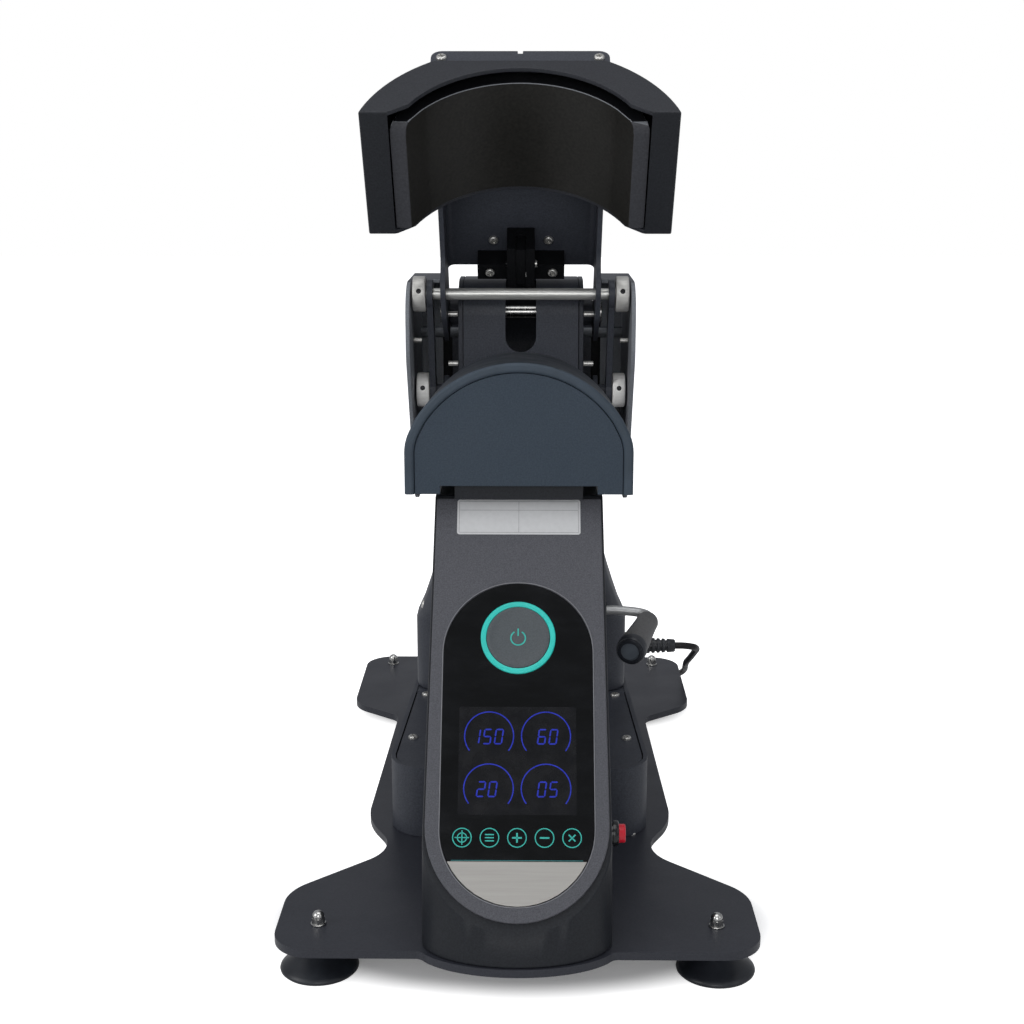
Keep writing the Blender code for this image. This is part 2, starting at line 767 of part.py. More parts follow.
def panel_outline(inset, low=None):
    """The panel's long outline with round ends, or its part above low."""
    half = PANEL_HALF - inset
    lower = PANEL_LOW + PANEL_HALF
    upper = panel_top() - PANEL_HALF
    top = arc((0.0, upper), half, 0.0, 180.0, ARCH_STEPS)
    if low is None:
        return arc((0.0, lower), half, 180.0, 360.0, ARCH_STEPS) + top
    start = math.degrees(math.asin((lower - low) / half))
    left = arc((0.0, lower), half, 180.0, 180.0 + start, 6)
    right = arc((0.0, lower), half, 360.0 - start, 360.0, 6)
    return left + right + top


def silver_outline(inset):
    half = PANEL_HALF - inset
    lower = PANEL_LOW + PANEL_HALF
    start = math.degrees(math.asin((lower - PANEL_SILVER + PANEL_SEAM) / half))
    return arc((0.0, lower), half, 180.0 + start, 360.0 - start, 16)


def make_console():
    wall_depth = FASCIA_THICK + GAP
    low = PLATE_TOP + GAP
    shell = piece("console_shell", column_block(0.0, low, COLUMN_TOP_Z, wall_depth), "black_paint")
    soften(shell, COLUMN_SOFT, 2)
    hollow = column_block(COLUMN_WALL, low - OVERRUN, COLUMN_TOP_Z - COLUMN_WALL, wall_depth + COLUMN_WALL)
    cut(shell, cutter("console_hollow", hollow))

    face = empty("console_face", (0.0, FACE_Y, FACE_Z), math.pi / 2 - LEAN)
    window = prism(panel_outline(WINDOW_INSET), "Z", -wall_depth - COLUMN_WALL - OVERRUN, OVERRUN)
    cut(shell, cutter("console_window", window, face))

    fascia = piece("console_fascia", prism(fascia_outline(), "Z", -FASCIA_THICK, 0.0), "fascia_plastic", face)
    soften(fascia, FASCIA_SOFT, 2, 60.0)
    opening = prism(panel_outline(0.0), "Z", -FASCIA_THICK - OVERRUN, OVERRUN)
    cut(fascia, cutter("fascia_opening", opening, face))

    glass = piece("panel_glass", prism(panel_outline(GAP, PANEL_SILVER), "Z", -FASCIA_THICK, PANEL_PROUD),
                  "panel_glass", face)
    centre = (0.0, ring_centre(), 0.0)
    hole = cylinder(RING_RADIUS + GAP, "Z", centre, -FASCIA_THICK - OVERRUN, OVERRUN, TURN_STEPS)
    cut(glass, cutter("ring_hole", hole, face))
    piece("silver_trim", prism(silver_outline(GAP), "Z", -FASCIA_THICK, PANEL_PROUD), "brushed_trim", face)

    inner = RING_RADIUS - RING_WIDTH
    ring = ring_profile(inner, RING_RADIUS, -FASCIA_THICK, PANEL_PROUD * 2)
    piece("start_ring", lathe(ring, "Z", centre), "teal_ring", face)

    back = -wall_depth
    high = ring_centre() - DISPLAY_FROM_RING
    low = high - DISPLAY_LENGTH_SHARE * panel_top()
    display = box((-DISPLAY_HALF, low, back - DISPLAY_THICK), (DISPLAY_HALF, high, back))
    piece("display_module", display, "grey_plastic", face)
    board_top = back - DISPLAY_THICK - GAP
    board = box((-BOARD_HALF, low - BOARD_BELOW_DISPLAY, board_top - BOARD_THICK),
                (BOARD_HALF, ring_centre() + BOARD_ABOVE_RING, board_top))
    board = piece("control_board", board, "circuit_board", face)

    start = empty("start_button_slide", centre, 0.0, face)
    low = BUTTON_PROUD - BUTTON_THICK
    button = lathe(rod_profile(inner - GAP, low, BUTTON_PROUD, BUTTON_SOFT), "Z")
    piece("start_button", button, "grey_plastic", start)
    switch_top = low - BUTTON_TRAVEL - GAP
    switch = box((-SWITCH_HALF, ring_centre() - SWITCH_HALF, board_top - BOARD_THICK / 2),
                 (SWITCH_HALF, ring_centre() + SWITCH_HALF, switch_top))
    fuse(board, cutter("start_switch", switch, face))
    make_side_button(shell)


def make_side_button(shell):
    wall = column_half(SIDE_Z)
    centre = (0.0, SIDE_Y, SIDE_Z)
    hole = cylinder(SIDE_BARREL_RADIUS + GAP, "X", centre, wall - SIDE_BARREL_DEPTH, wall + OVERRUN)
    cut(shell, cutter("side_button_hole", hole))
    seat = wall + GAP + COLUMN_SOFT
    mouth = seat + SIDE_BEZEL_PROUD
    bore = SIDE_CAP_RADIUS + GAP
    floor = wall - SIDE_BARREL_DEPTH
    stop = seat - SIDE_CAP_DEPTH - SIDE_TRAVEL - GAP
    bezel = [(0.0, floor), (SIDE_BARREL_RADIUS, floor), (SIDE_BARREL_RADIUS, seat), (SIDE_BEZEL_RADIUS, seat),
             (SIDE_BEZEL_RADIUS, mouth), (bore, mouth), (bore, stop), (0.0, stop)]
    piece("side_button_bezel", lathe(bezel, "X", centre, 24), "black_rubber")
    slide = empty("side_button_slide", centre)
    cap = rod_profile(SIDE_CAP_RADIUS, seat - SIDE_CAP_DEPTH, seat + SIDE_CAP_PROUD, BUTTON_SOFT)
    piece("side_button_cap", lathe(cap, "X", steps=24), "red_plastic", slide)


# Middle housing, its cover and what it holds


def housing_half(y):
    share = (y - HOUSING_FRONT) / (HOUSING_REAR - HOUSING_FRONT)
    return HOUSING_FRONT_HALF + (HOUSING_REAR_HALF - HOUSING_FRONT_HALF) * share


def housing_outline(inset, rear=HOUSING_REAR):
    rear_half = housing_half(rear) - inset
    front_half = HOUSING_FRONT_HALF - inset
    rear_round = HOUSING_REAR_RADIUS - inset if rear == HOUSING_REAR else 0.0
    return rounded([
        (-front_half, HOUSING_FRONT + inset, HOUSING_FRONT_RADIUS - inset),
        (front_half, HOUSING_FRONT + inset, HOUSING_FRONT_RADIUS - inset),
        (rear_half, rear - (inset if rear == HOUSING_REAR else 0.0), rear_round),
        (-rear_half, rear - (inset if rear == HOUSING_REAR else 0.0), rear_round),
    ])


def column_space(name):
    """The room that the column takes, with its gap all round."""
    return cutter(name, column_block(-GAP, -OVERRUN, HOUSING_TOP + OVERRUN, 0.0))


def make_housing():
    low = PLATE_TOP + GAP
    shell = piece("mid_housing", prism(housing_outline(0.0), "Z", low, HOUSING_TOP), "black_paint")
    hollow = prism(housing_outline(HOUSING_WALL), "Z", low - OVERRUN, HOUSING_TOP + OVERRUN)
    cut(shell, cutter("housing_hollow", hollow))
    cut(shell, column_space("housing_column_space"))

    cover_top = HOUSING_TOP - COVER_DROP
    outline = housing_outline(HOUSING_WALL + COVER_GAP, TOWER_FRONT - GAP)
    cover = piece("mid_cover", prism(outline, "Z", cover_top - COVER_THICK, cover_top), "charcoal_paint")
    cut(cover, column_space("cover_column_space"))
    rows = (HOUSING_FRONT + POST_FROM_FRONT, TOWER_FRONT - POST_FROM_TOWER)
    places = [(side * (housing_half(y) - POST_INSET), y) for y in rows for side in (-1, 1)]
    holes = bmesh.new()
    posts = bmesh.new()
    ribs = bmesh.new()
    post_top = cover_top - COVER_THICK - GAP
    for x, y in places:
        centre = (x, y, 0.0)
        bore = rod_profile(SCREW_BORE, cover_top - SCREW_DEPTH, HOUSING_TOP + OVERRUN)
        add_lathe(holes, bore, "Z", centre, POST_STEPS)
        add_lathe(posts, rod_profile(POST_RADIUS, low, post_top), "Z", centre, POST_STEPS)
        span = sorted((x, math.copysign(housing_half(y) - HOUSING_WALL / 2, x)))
        add_prism(ribs, [(span[0], y - RIB_HALF), (span[1], y - RIB_HALF), (span[1], y + RIB_HALF),
                         (span[0], y + RIB_HALF)], "Z", low + OVERRUN, post_top - OVERRUN)
    tool = cutter("cover_screw_holes", holes)
    cut(cover, tool)
    fuse(shell, cutter("housing_ribs", ribs))
    fuse(shell, cutter("housing_posts", posts))
    cut(shell, tool)
    supply_top = cover_top - COVER_THICK - SUPPLY_HEADROOM
    supply = box((-SUPPLY_HALF, SUPPLY_FRONT, low), (SUPPLY_HALF, SUPPLY_REAR, supply_top))
    piece("power_supply", supply, "cast_metal")


# Tower


def tower_ring(share, flare, inset):
    base_half = HOUSING_REAR_HALF
    top_half = CHEEK_OUT + GAP + TOWER_WALL
    half = base_half + (top_half - base_half) * flare - inset
    front = TOWER_FRONT + (TOWER_TOP_FRONT - TOWER_FRONT) * flare + inset
    rear = HOUSING_REAR + (TOWER_TOP_REAR - HOUSING_REAR) * flare - inset
    turn = TOWER_CORNER + (TOWER_TOP_CORNER - TOWER_CORNER) * flare - inset
    z = HOUSING_TOP + GAP + (TOWER_TOP - HOUSING_TOP - GAP) * share
    outline = rounded([(-half, front, turn), (half, front, turn), (half, rear, turn), (-half, rear, turn)], 4)
    return [(x, y, z) for x, y in outline]


def tower_block(inset, stretch=0.0):
    rings = [tower_ring(share, flare, inset) for share, flare in TOWER_FLARE_SHARES]
    if stretch:
        rings.insert(0, [(x, y, z - stretch) for x, y, z in rings[0]])
        rings.append([(x, y, z + stretch) for x, y, z in rings[-1]])
    return loft(rings)


def make_tower():
    shell = piece("tower_shell", tower_block(0.0), "charcoal_paint", smooth=50.0)
    cut(shell, cutter("tower_hollow", tower_block(TOWER_WALL, OVERRUN)))
    wall = HOUSING_REAR_HALF
    centre = (0.0, GLAND_Y, GLAND_Z)
    hole = cylinder(GLAND_ROOT_RADIUS + GAP, "X", centre, wall - TOWER_WALL - OVERRUN, wall + OVERRUN)
    cut(shell, cutter("gland_hole", hole))


# Neck


def neck_top(front, inset):
    """The rounded top of the neck, listed from its front edge over the pivot to its back."""
    top = PIVOT_Z + CHEEK_ROUND - inset
    turn = CHEEK_ROUND - inset
    return [(front + inset, top, turn), (PIVOT_Y + turn, top, turn * 0.9),
            (CHEEK_REAR - inset, PIVOT_Z - CHEEK_SHOULDER_DROP, CHEEK_SHOULDER_ROUND)]


def cheek_corners():
    hip = HOUSING_TOP + CHEEK_HIP_SHARE * (TOWER_TOP - HOUSING_TOP)
    return neck_top(CHEEK_FRONT, 0.0) + [
        (CHEEK_REAR, CHEEK_BOTTOM, 0.0), (CHEEK_HIP_Y, CHEEK_BOTTOM, 0.0), (CHEEK_HIP_Y, hip, CHEEK_ROUND),
        (CHEEK_FRONT, TOWER_TOP - CHEEK_KNEE_DROP, CHEEK_ROUND)]


def cowl_corners(inset, bottom):
    return neck_top(COWL_FRONT, inset) + [
        (CHEEK_REAR - inset, bottom, 0.0), (COWL_FRONT + inset, bottom, 0.0)]


def make_neck():
    outline = rounded(cheek_corners(), 5)
    inner = CHEEK_OUT - CHEEK_THICK
    axles = ((PIVOT_Y, PIVOT_Z, SHAFT_RADIUS), (CRANK_Y, CRANK_Z, CRANK_SHAFT_RADIUS))
    bores = bmesh.new()
    for y, z, radius in axles:
        add_lathe(bores, rod_profile(radius + GAP, -ARM_OUT, ARM_OUT), "X", (0.0, y, z), SMALL_STEPS)
    tool = cutter("cheek_bores", bores)
    spans = both_sides(inner, CHEEK_OUT)
    bosses = both_sides(CHEEK_OUT - CHEEK_THICK / 2, ARM_OUT - ARM_THICK - GAP)
    for name, (low, high), span in zip(("right_cheek", "left_cheek"), spans, bosses):
        cheek = piece(name, prism(outline, "X", low, high), "charcoal_paint")
        boss = bmesh.new()
        for y, z, radius in axles:
            add_lathe(boss, rod_profile(radius + BOSS_WALL, *span), "X", (0.0, y, z), 24)
        fuse(cheek, cutter(name + "_bosses", boss))
        cut(cheek, tool)

    half = inner - GAP
    low = TOWER_TOP + GAP
    cowl = piece("cowl", prism(rounded(cowl_corners(0.0, low), 7), "X", -half, half), "charcoal_paint")
    under = prism(rounded(cowl_corners(COWL_THICK, low - OVERRUN), 7), "X", -half - OVERRUN, half + OVERRUN)
    cut(cowl, cutter("cowl_hollow", under))
    above = PIVOT_Z + CHEEK_ROUND + OVERRUN
    slot_end = arc((0.0, PIVOT_Z - COWL_SLOT_DROP), COWL_SLOT_HALF, 180.0, 360.0, 12)
    slot = [(-COWL_SLOT_HALF, above)] + slot_end + [(COWL_SLOT_HALF, above)]
    cut(cowl, cutter("cowl_slot", prism(slot, "Y", COWL_FRONT - OVERRUN, COWL_SLOT_REAR)))

    end = ARM_OUT + GAP
    tip = end + SHAFT_HEAD_THICK
    shaft = [(0.0, -tip), (SHAFT_HEAD_RADIUS, -tip), (SHAFT_HEAD_RADIUS, -end), (SHAFT_RADIUS, -end),
             (SHAFT_RADIUS, end), (SHAFT_HEAD_RADIUS, end), (SHAFT_HEAD_RADIUS, tip), (0.0, tip)]
    piece("pivot_shaft", lathe(shaft, "X", (0.0, PIVOT_Y, PIVOT_Z), 20), "polished_steel")
    make_guards()


def guard_corners(inset):
    return [
        (GUARD_FRONT + inset, GUARD_TOP - inset, GUARD_FRONT_ROUND - inset),
        (GUARD_REAR - inset, GUARD_TOP - inset, GUARD_REAR_ROUND - inset),
        (GUARD_REAR - inset, GUARD_BOTTOM + inset, GUARD_TOE_ROUND - inset),
        (GUARD_TOE_Y + inset, GUARD_BOTTOM + inset, GUARD_TOE_ROUND - inset),
        (GUARD_FRONT + inset, GUARD_KNEE_Z, GUARD_KNEE_ROUND - inset),
    ]


def standoff_places():
    """Two posts up the back edge of a guard and one behind its toe."""
    back = GUARD_REAR - STANDOFF_FROM_REAR
    low = GUARD_BOTTOM + STANDOFF_FROM_BOTTOM
    return ((back, GUARD_TOP - STANDOFF_FROM_TOP), (back, low), (GUARD_TOE_Y + STANDOFF_FROM_TOE, low))


def make_guards():
    outer = rounded(guard_corners(0.0), 7)
    inner = rounded(guard_corners(GUARD_THICK), 7)
    side_in = GUARD_OUT - GUARD_THICK
    for name, sign in (("right_guard", 1), ("left_guard", -1)):
        span = sorted((sign * GUARD_FLANGE_IN, sign * GUARD_OUT))
        guard = piece(name, prism(outer, "X", *span), "charcoal_paint")
        span = sorted((sign * (GUARD_FLANGE_IN - OVERRUN), sign * side_in))
        cut(guard, cutter(name + "_hollow", prism(inner, "X", *span)))
        span = sorted((sign * (GUARD_FLANGE_IN - 2 * OVERRUN), sign * side_in))
        open_front = [(GUARD_FRONT - OVERRUN, GUARD_TOP + OVERRUN), (GUARD_FLANGE_START, GUARD_TOP + OVERRUN),
                      (GUARD_FLANGE_START, GUARD_KNEE_Z), (GUARD_REAR - GUARD_TOE_ROUND, GUARD_KNEE_Z),
                      (GUARD_REAR - GUARD_TOE_ROUND, GUARD_BOTTOM - OVERRUN),
                      (GUARD_FRONT - OVERRUN, GUARD_BOTTOM - OVERRUN)]
        cut(guard, cutter(name + "_mouth", prism(open_front, "X", *span)))
        posts = bmesh.new()
        span = sorted((sign * (CHEEK_OUT + GAP), sign * (side_in + GUARD_THICK / 2)))
        for y, z in standoff_places():
            add_lathe(posts, rod_profile(STANDOFF_RADIUS, *span), "X", (0.0, y, z), 12)
        fuse(guard, cutter(name + "_posts", posts))
    half = GUARD_FLANGE_IN - GAP
    low = TOWER_TOP + GAP
    high = GUARD_TOP - REAR_COVER_DROP
    cover = rounded([(-half, low, 0.0), (half, low, 0.0), (half, high, REAR_COVER_ROUND),
                     (-half, high, REAR_COVER_ROUND)])
    piece("rear_cover", prism(cover, "Y", GUARD_REAR - REAR_COVER_THICK, GUARD_REAR), "charcoal_paint")


# Drive and linkage


def eye_bar(start, start_radius, end, end_radius, waist):
    """Outline of a bar with round ends about two points of the YZ plane."""
    a, b = Vector(start), Vector(end)
    along = (b - a).normalized()
    heading = math.degrees(math.atan2(along.y, along.x))
    first_gap = math.degrees(math.asin(min(waist / start_radius, 1.0)))
    second_gap = math.degrees(math.asin(min(waist / end_radius, 1.0)))
    first = arc(start, start_radius, heading + first_gap, heading + 360.0 - first_gap, 14)
    second = arc(end, end_radius, heading + 180.0 + second_gap, heading + 540.0 - second_gap, 14)
    return first + second


def make_drive():
    shaft_half = ARM_OUT + GAP + SHAFT_HEAD_THICK
    half = CHEEK_OUT - CHEEK_THICK - GAP
    front = CRANK_Y - GEARBOX_AHEAD
    rear = CRANK_Y + GEARBOX_BEHIND
    low = CRANK_Z - GEARBOX_BELOW
    casing = box((-half, front, low), (half, rear, CRANK_Z + GEARBOX_ABOVE))
    gearbox = soften(piece("drive_gearbox", casing, "cast_metal"), GEARBOX_SOFT, 2)
    bore = cylinder(CRANK_SHAFT_RADIUS + GAP, "X", (0.0, CRANK_Y, CRANK_Z), -half - OVERRUN, half + OVERRUN)
    cut(gearbox, cutter("gearbox_bore", bore))
    top = low - GAP
    motor = rod_profile(MOTOR_RADIUS, top - MOTOR_LENGTH, top, GEARBOX_SOFT)
    piece("drive_motor", lathe(motor, "Z", (0.0, (front + rear) / 2, 0.0), 24), "cast_metal")

    crank = empty("crank_pivot", (0.0, CRANK_Y, CRANK_Z), -OPEN_ANGLE)
    piece("crank_shaft", lathe(rod_profile(CRANK_SHAFT_RADIUS, -shaft_half, shaft_half), "X", steps=20),
          "polished_steel", crank)
    outline = eye_bar((0.0, 0.0), CRANK_BOSS, (ROD_Y, ROD_Z), CRANK_EYE, CRANK_EYE * 0.85)
    bore = cylinder(CRANK_SHAFT_RADIUS + GAP, "X", (0.0, 0.0, 0.0), -shaft_half, shaft_half)
    bore = cutter("crank_bore", bore, crank)
    spans = both_sides(ARM_OUT - ARM_THICK, ARM_OUT)
    pins = both_sides(ARM_OUT - ARM_THICK / 2, COLLAR_IN + COLLAR_WIDTH)
    for name, span, pin in zip(("right_crank_arm", "left_crank_arm"), spans, pins):
        arm = piece(name, prism(outline, "X", *span), "charcoal_paint", crank)
        stub = lathe(rod_profile(ROD_RADIUS, *pin), "X", (0.0, ROD_Y, ROD_Z), 20)
        fuse(arm, cutter(name + "_pin", stub, crank))
        cut(arm, bore)
    make_collars("lower", crank)

    opened = Matrix.Rotation(-OPEN_ANGLE, 3, "X") @ Vector((0.0, ROD_Y, ROD_Z))
    pin = Vector((0.0, CRANK_Y, CRANK_Z)) + opened
    up = Vector((0.0, PIVOT_Y - CRANK_Y, PIVOT_Z - CRANK_Z))
    link = empty("link_pivot", pin)
    bar = eye_bar((0.0, 0.0), LINK_EYE, (up.y, up.z), LINK_EYE, LINK_HALF)
    holes = bmesh.new()
    reach = LINK_IN + LINK_THICK + OVERRUN
    add_lathe(holes, rod_profile(ROD_RADIUS + GAP, -reach, reach), "X", (0.0, 0.0, 0.0), 16)
    add_lathe(holes, rod_profile(ROD_RADIUS + GAP, -reach, reach), "X", (0.0, up.y, up.z), 16)
    tool = cutter("link_holes", holes, link)
    for name, span in zip(("right_link", "left_link"), both_sides(LINK_IN, LINK_IN + LINK_THICK)):
        cut(piece(name, prism(bar, "X", *span), "charcoal_paint", link), tool)


def make_collars(level, parent):
    """Shaft collars on the right and left end of the rod or the pins, which share one place in their body."""
    centre = COLLAR_IN + COLLAR_WIDTH / 2
    profile = ring_profile(ROD_RADIUS + GAP, COLLAR_RADIUS, -COLLAR_WIDTH / 2, COLLAR_WIDTH / 2, COLLAR_SOFT)
    right = piece(level + "_right_collar", lathe(profile, "X", steps=22), "polished_steel", parent,
                  (centre, ROD_Y, ROD_Z))
    again(level + "_left_collar", right, (-centre, ROD_Y, ROD_Z), parent)


# Bed


def bed_outline(inset, bottom):
    """Half round crown with upright sides; the inset is from the pad's outer surface."""
    radius = PAD_RADIUS - inset
    half = PAD_HALF - inset
    shoulder = math.degrees(math.asin(math.sqrt(max(1 - (half / radius) ** 2, 0.0))))
    start = max(shoulder, 1.0)
    lift = 12.0
    crown = arc((0.0, BED_CENTRE_Z), radius, start + lift, 180.0 - start - lift, ARCH_STEPS)
    side_z = BED_CENTRE_Z + radius * math.sin(math.radians(start))
    blend = rounded([(half, bottom, 0.0), (half, side_z, PAD_SHOULDER_ROUND), (*crown[0], 0.0)], 5)[:-1]
    return blend + crown + [(-x, z) for x, z in reversed(blend)]


def make_bed():
    outside = prism(bed_outline(0.0, BED_BOTTOM), "Y", BED_FRONT, BED_REAR)
    pad = piece("bed_pad", outside, "silicone", smooth=40.0)
    inside = bed_outline(PAD_THICK, BED_BOTTOM - OVERRUN)
    cut(pad, cutter("pad_hollow", prism(inside, "Y", BED_FRONT - OVERRUN, BED_REAR + OVERRUN)))
    face_front = BED_FRONT + FACE_PLATE_RECESS
    face_back = face_front + FACE_PLATE_THICK
    outline = bed_outline(PAD_THICK + GAP, BED_BOTTOM)
    face = piece("bed_face", prism(outline, "Y", face_front, face_back), "bed_paint", smooth=40.0)
    notch = box((-BED_NOTCH_HALF, face_front - OVERRUN, BED_BOTTOM - OVERRUN),
                (BED_NOTCH_HALF, BED_REAR + OVERRUN, BED_BOTTOM + BED_NOTCH_HIGH))
    tool = cutter("bed_notch", notch)
    cut(face, tool)
    core = piece("bed_core", prism(outline, "Y", face_back + GAP, BED_REAR), "cast_metal", smooth=40.0)
    cut(core, tool)
    mount = box((-MOUNT_HALF, BED_FRONT + MOUNT_FROM_FRONT, COLUMN_TOP_Z + GAP),
                (MOUNT_HALF, BED_REAR - MOUNT_FROM_REAR, BED_BOTTOM + BED_NOTCH_HIGH - GAP))
    piece("bed_mount", mount, "black_paint")


# Head and arm, modelled closed


def closed(bm):
    """Moves a shape from the closed machine's frame to the head pivot's own."""
    bmesh.ops.translate(bm, vec=(0.0, -PIVOT_Y, -PIVOT_Z), verts=bm.verts)
    return bm


def arch_angle(radius, z):
    return math.degrees(math.asin((z - BED_CENTRE_Z) / radius))


def head_outline():
    start = arch_angle(HEAD_RADIUS, HEAD_BOTTOM)
    high = arch_angle(HEAD_RADIUS, HEAD_TOP)
    right = arc((0.0, BED_CENTRE_Z), HEAD_RADIUS, start, high, 14)
    left = arc((0.0, BED_CENTRE_Z), HEAD_RADIUS, 180.0 - high, 180.0 - start, 14)
    return right + left


def head_arch():
    """The way through both end walls: the arch, and the legs' slanted inner corners."""
    cut_z = BED_CENTRE_Z + math.sqrt(HEAD_ARCH**2 - HEAD_LEG_CUT**2)
    start = arch_angle(HEAD_ARCH, cut_z)
    crown = arc((0.0, BED_CENTRE_Z), HEAD_ARCH, start, 180.0 - start, ARCH_STEPS)
    leg = [(HEAD_RIM_IN, HEAD_BOTTOM - OVERRUN), (HEAD_RIM_IN, HEAD_BOTTOM)]
    return leg + crown + [(-x, z) for x, z in reversed(leg)]


def heater_outline(inner, outer, bottom):
    one = arch_angle(outer, bottom)
    two = arch_angle(inner, bottom)
    return arc((0.0, BED_CENTRE_Z), outer, one, 180.0 - one, ARCH_STEPS + 4) + arc(
        (0.0, BED_CENTRE_Z), inner, 180.0 - two, two, ARCH_STEPS)


def make_head(head):
    shape = closed(prism(head_outline(), "Y", HEAD_FRONT, HEAD_REAR))
    housing = piece("head_housing", shape, "black_paint", head)
    soften(housing, HEAD_SOFT, 2, 30.0)
    inner = HEAD_RADIUS - HEAD_WALL
    floor = HEAD_BOTTOM + HEAD_WALL
    start = arch_angle(inner, floor)
    high = arch_angle(inner, HEAD_TOP + OVERRUN)
    cavity = arc((0.0, BED_CENTRE_Z), inner, start, high, 14) + arc(
        (0.0, BED_CENTRE_Z), inner, 180.0 - high, 180.0 - start, 14)
    hollow = prism(cavity, "Y", HEAD_FRONT + HEAD_WALL, HEAD_REAR - HEAD_WALL)
    cut(housing, cutter("head_cavity", closed(hollow), head))
    tunnel = prism(head_arch(), "Y", HEAD_FRONT - OVERRUN, HEAD_REAR + OVERRUN)
    cut(housing, cutter("head_arch", closed(tunnel), head))
    well = box((-HEAD_RIM_IN, HEAD_FRONT + HEAD_WALL, HEAD_BOTTOM - OVERRUN),
               (HEAD_RIM_IN, HEAD_REAR - HEAD_WALL, HEAD_BOTTOM + HEAD_WALL + OVERRUN))
    cut(housing, cutter("head_well", closed(well), head))

    outer = HEATER_INNER + HEATER_THICK
    bottom = HEAD_BOTTOM + HEATER_RAISE
    front = HEAD_FRONT + HEATER_SET_BACK
    heater = prism(heater_outline(HEATER_INNER, outer, bottom), "Y", front, HEAD_REAR - HEAD_WALL - GAP)
    feet = [edge for edge in heater.edges
            if all(abs(v.co.z - bottom) < GAP and v.co.y < front + GAP for v in edge.verts)]
    bmesh.ops.bevel(heater, geom=feet, offset=HEATER_CORNER, segments=4, affect="EDGES", profile=0.5)
    piece("heater_plate", closed(heater), "heater_coating", head, smooth=40.0)

    front = HEAD_FRONT + BLOCK_FROM_FRONT
    rear = HEAD_REAR - BLOCK_FROM_REAR
    block = box((-BLOCK_HALF, front, BED_CENTRE_Z), (BLOCK_HALF, rear, WEB_LOW - GAP))
    block = piece("head_block", closed(block), "cast_metal", head)
    centre = (0.0, 0.0, BED_CENTRE_Z)
    under = cylinder(outer + GAP, "Y", centre, front - OVERRUN, rear + OVERRUN, 4 * TURN_STEPS)
    cut(block, cutter("block_seat", closed(under), head))
    make_head_cover(head)


def cover_outline(inset, low):
    """The cover's section: open below, its two upper corners rounded."""
    half = HEAD_COVER_HALF - inset
    top = HEAD_TOP + HEAD_COVER_RISE - inset
    turn = HEAD_COVER_ROUND - inset
    return rounded([(-half, low, 0.0), (half, low, 0.0), (half, top, turn), (-half, top, turn)])


def make_head_cover(head):
    low = HEAD_TOP + GAP
    front = HEAD_FRONT + HEAD_COVER_SET_BACK
    rear = HEAD_REAR - HEAD_COVER_SHORT
    shape = prism(cover_outline(0.0, low), "Y", front, rear)
    cover = piece("head_cover", closed(shape), "charcoal_paint", head)
    inside = cover_outline(HEAD_COVER_WALL, low - OVERRUN)
    hollow = prism(inside, "Y", front + HEAD_COVER_WALL, rear + OVERRUN)
    cut(cover, cutter("head_cover_hollow", closed(hollow), head))
    top = HEAD_TOP + HEAD_COVER_RISE
    notch = box((-HEAD_COVER_NOTCH_HALF, front - OVERRUN, top - HEAD_COVER_NOTCH_DEEP),
                (HEAD_COVER_NOTCH_HALF, front + HEAD_COVER_WALL + OVERRUN, top + OVERRUN))
    cut(cover, cutter("head_cover_notch", closed(notch), head))


def arm_side():
    """The arm seen from the side, in the closed pose, with its web's edge left square for the fold."""
    top = WEB_LOW + ARM_THICK
    front = HEAD_REAR + ARM_BEHIND_HEAD
    end = PIVOT_Y + ARM_PIVOT_ROUND
    rod_y = PIVOT_Y + ROD_Y
    rod_z = PIVOT_Z + ROD_Z
    neck = PIVOT_Z - ARM_NECK_DROP
    above = top + OVERRUN
    under = WEB_LOW - OVERRUN / 2
    edge = top - OVERRUN / 10
    tip = HEAD_REAR - TONGUE_REACH - OVERRUN
    return rounded([
        (tip, above, 0.0),
        (tip, under, 0.0),
        (front, under, 0.0),
        (front, neck, ARM_NECK_ROUND),
        (rod_y - 2 * ARM_ROD_ROUND, neck, ARM_NECK_ROUND * 2),
        (rod_y - ARM_ROD_ROUND, rod_z - ARM_ROD_ROUND, ARM_ROD_ROUND),
        (rod_y + ARM_ROD_ROUND, rod_z - ARM_ROD_ROUND, ARM_ROD_ROUND),
        (end, PIVOT_Z - ARM_PIVOT_ROUND, ARM_PIVOT_ROUND),
        (end, edge, ARM_PIVOT_ROUND),
        (WEB_REAR + OVERRUN, edge, 0.0),
        (WEB_REAR + OVERRUN, above, 0.0),
    ])


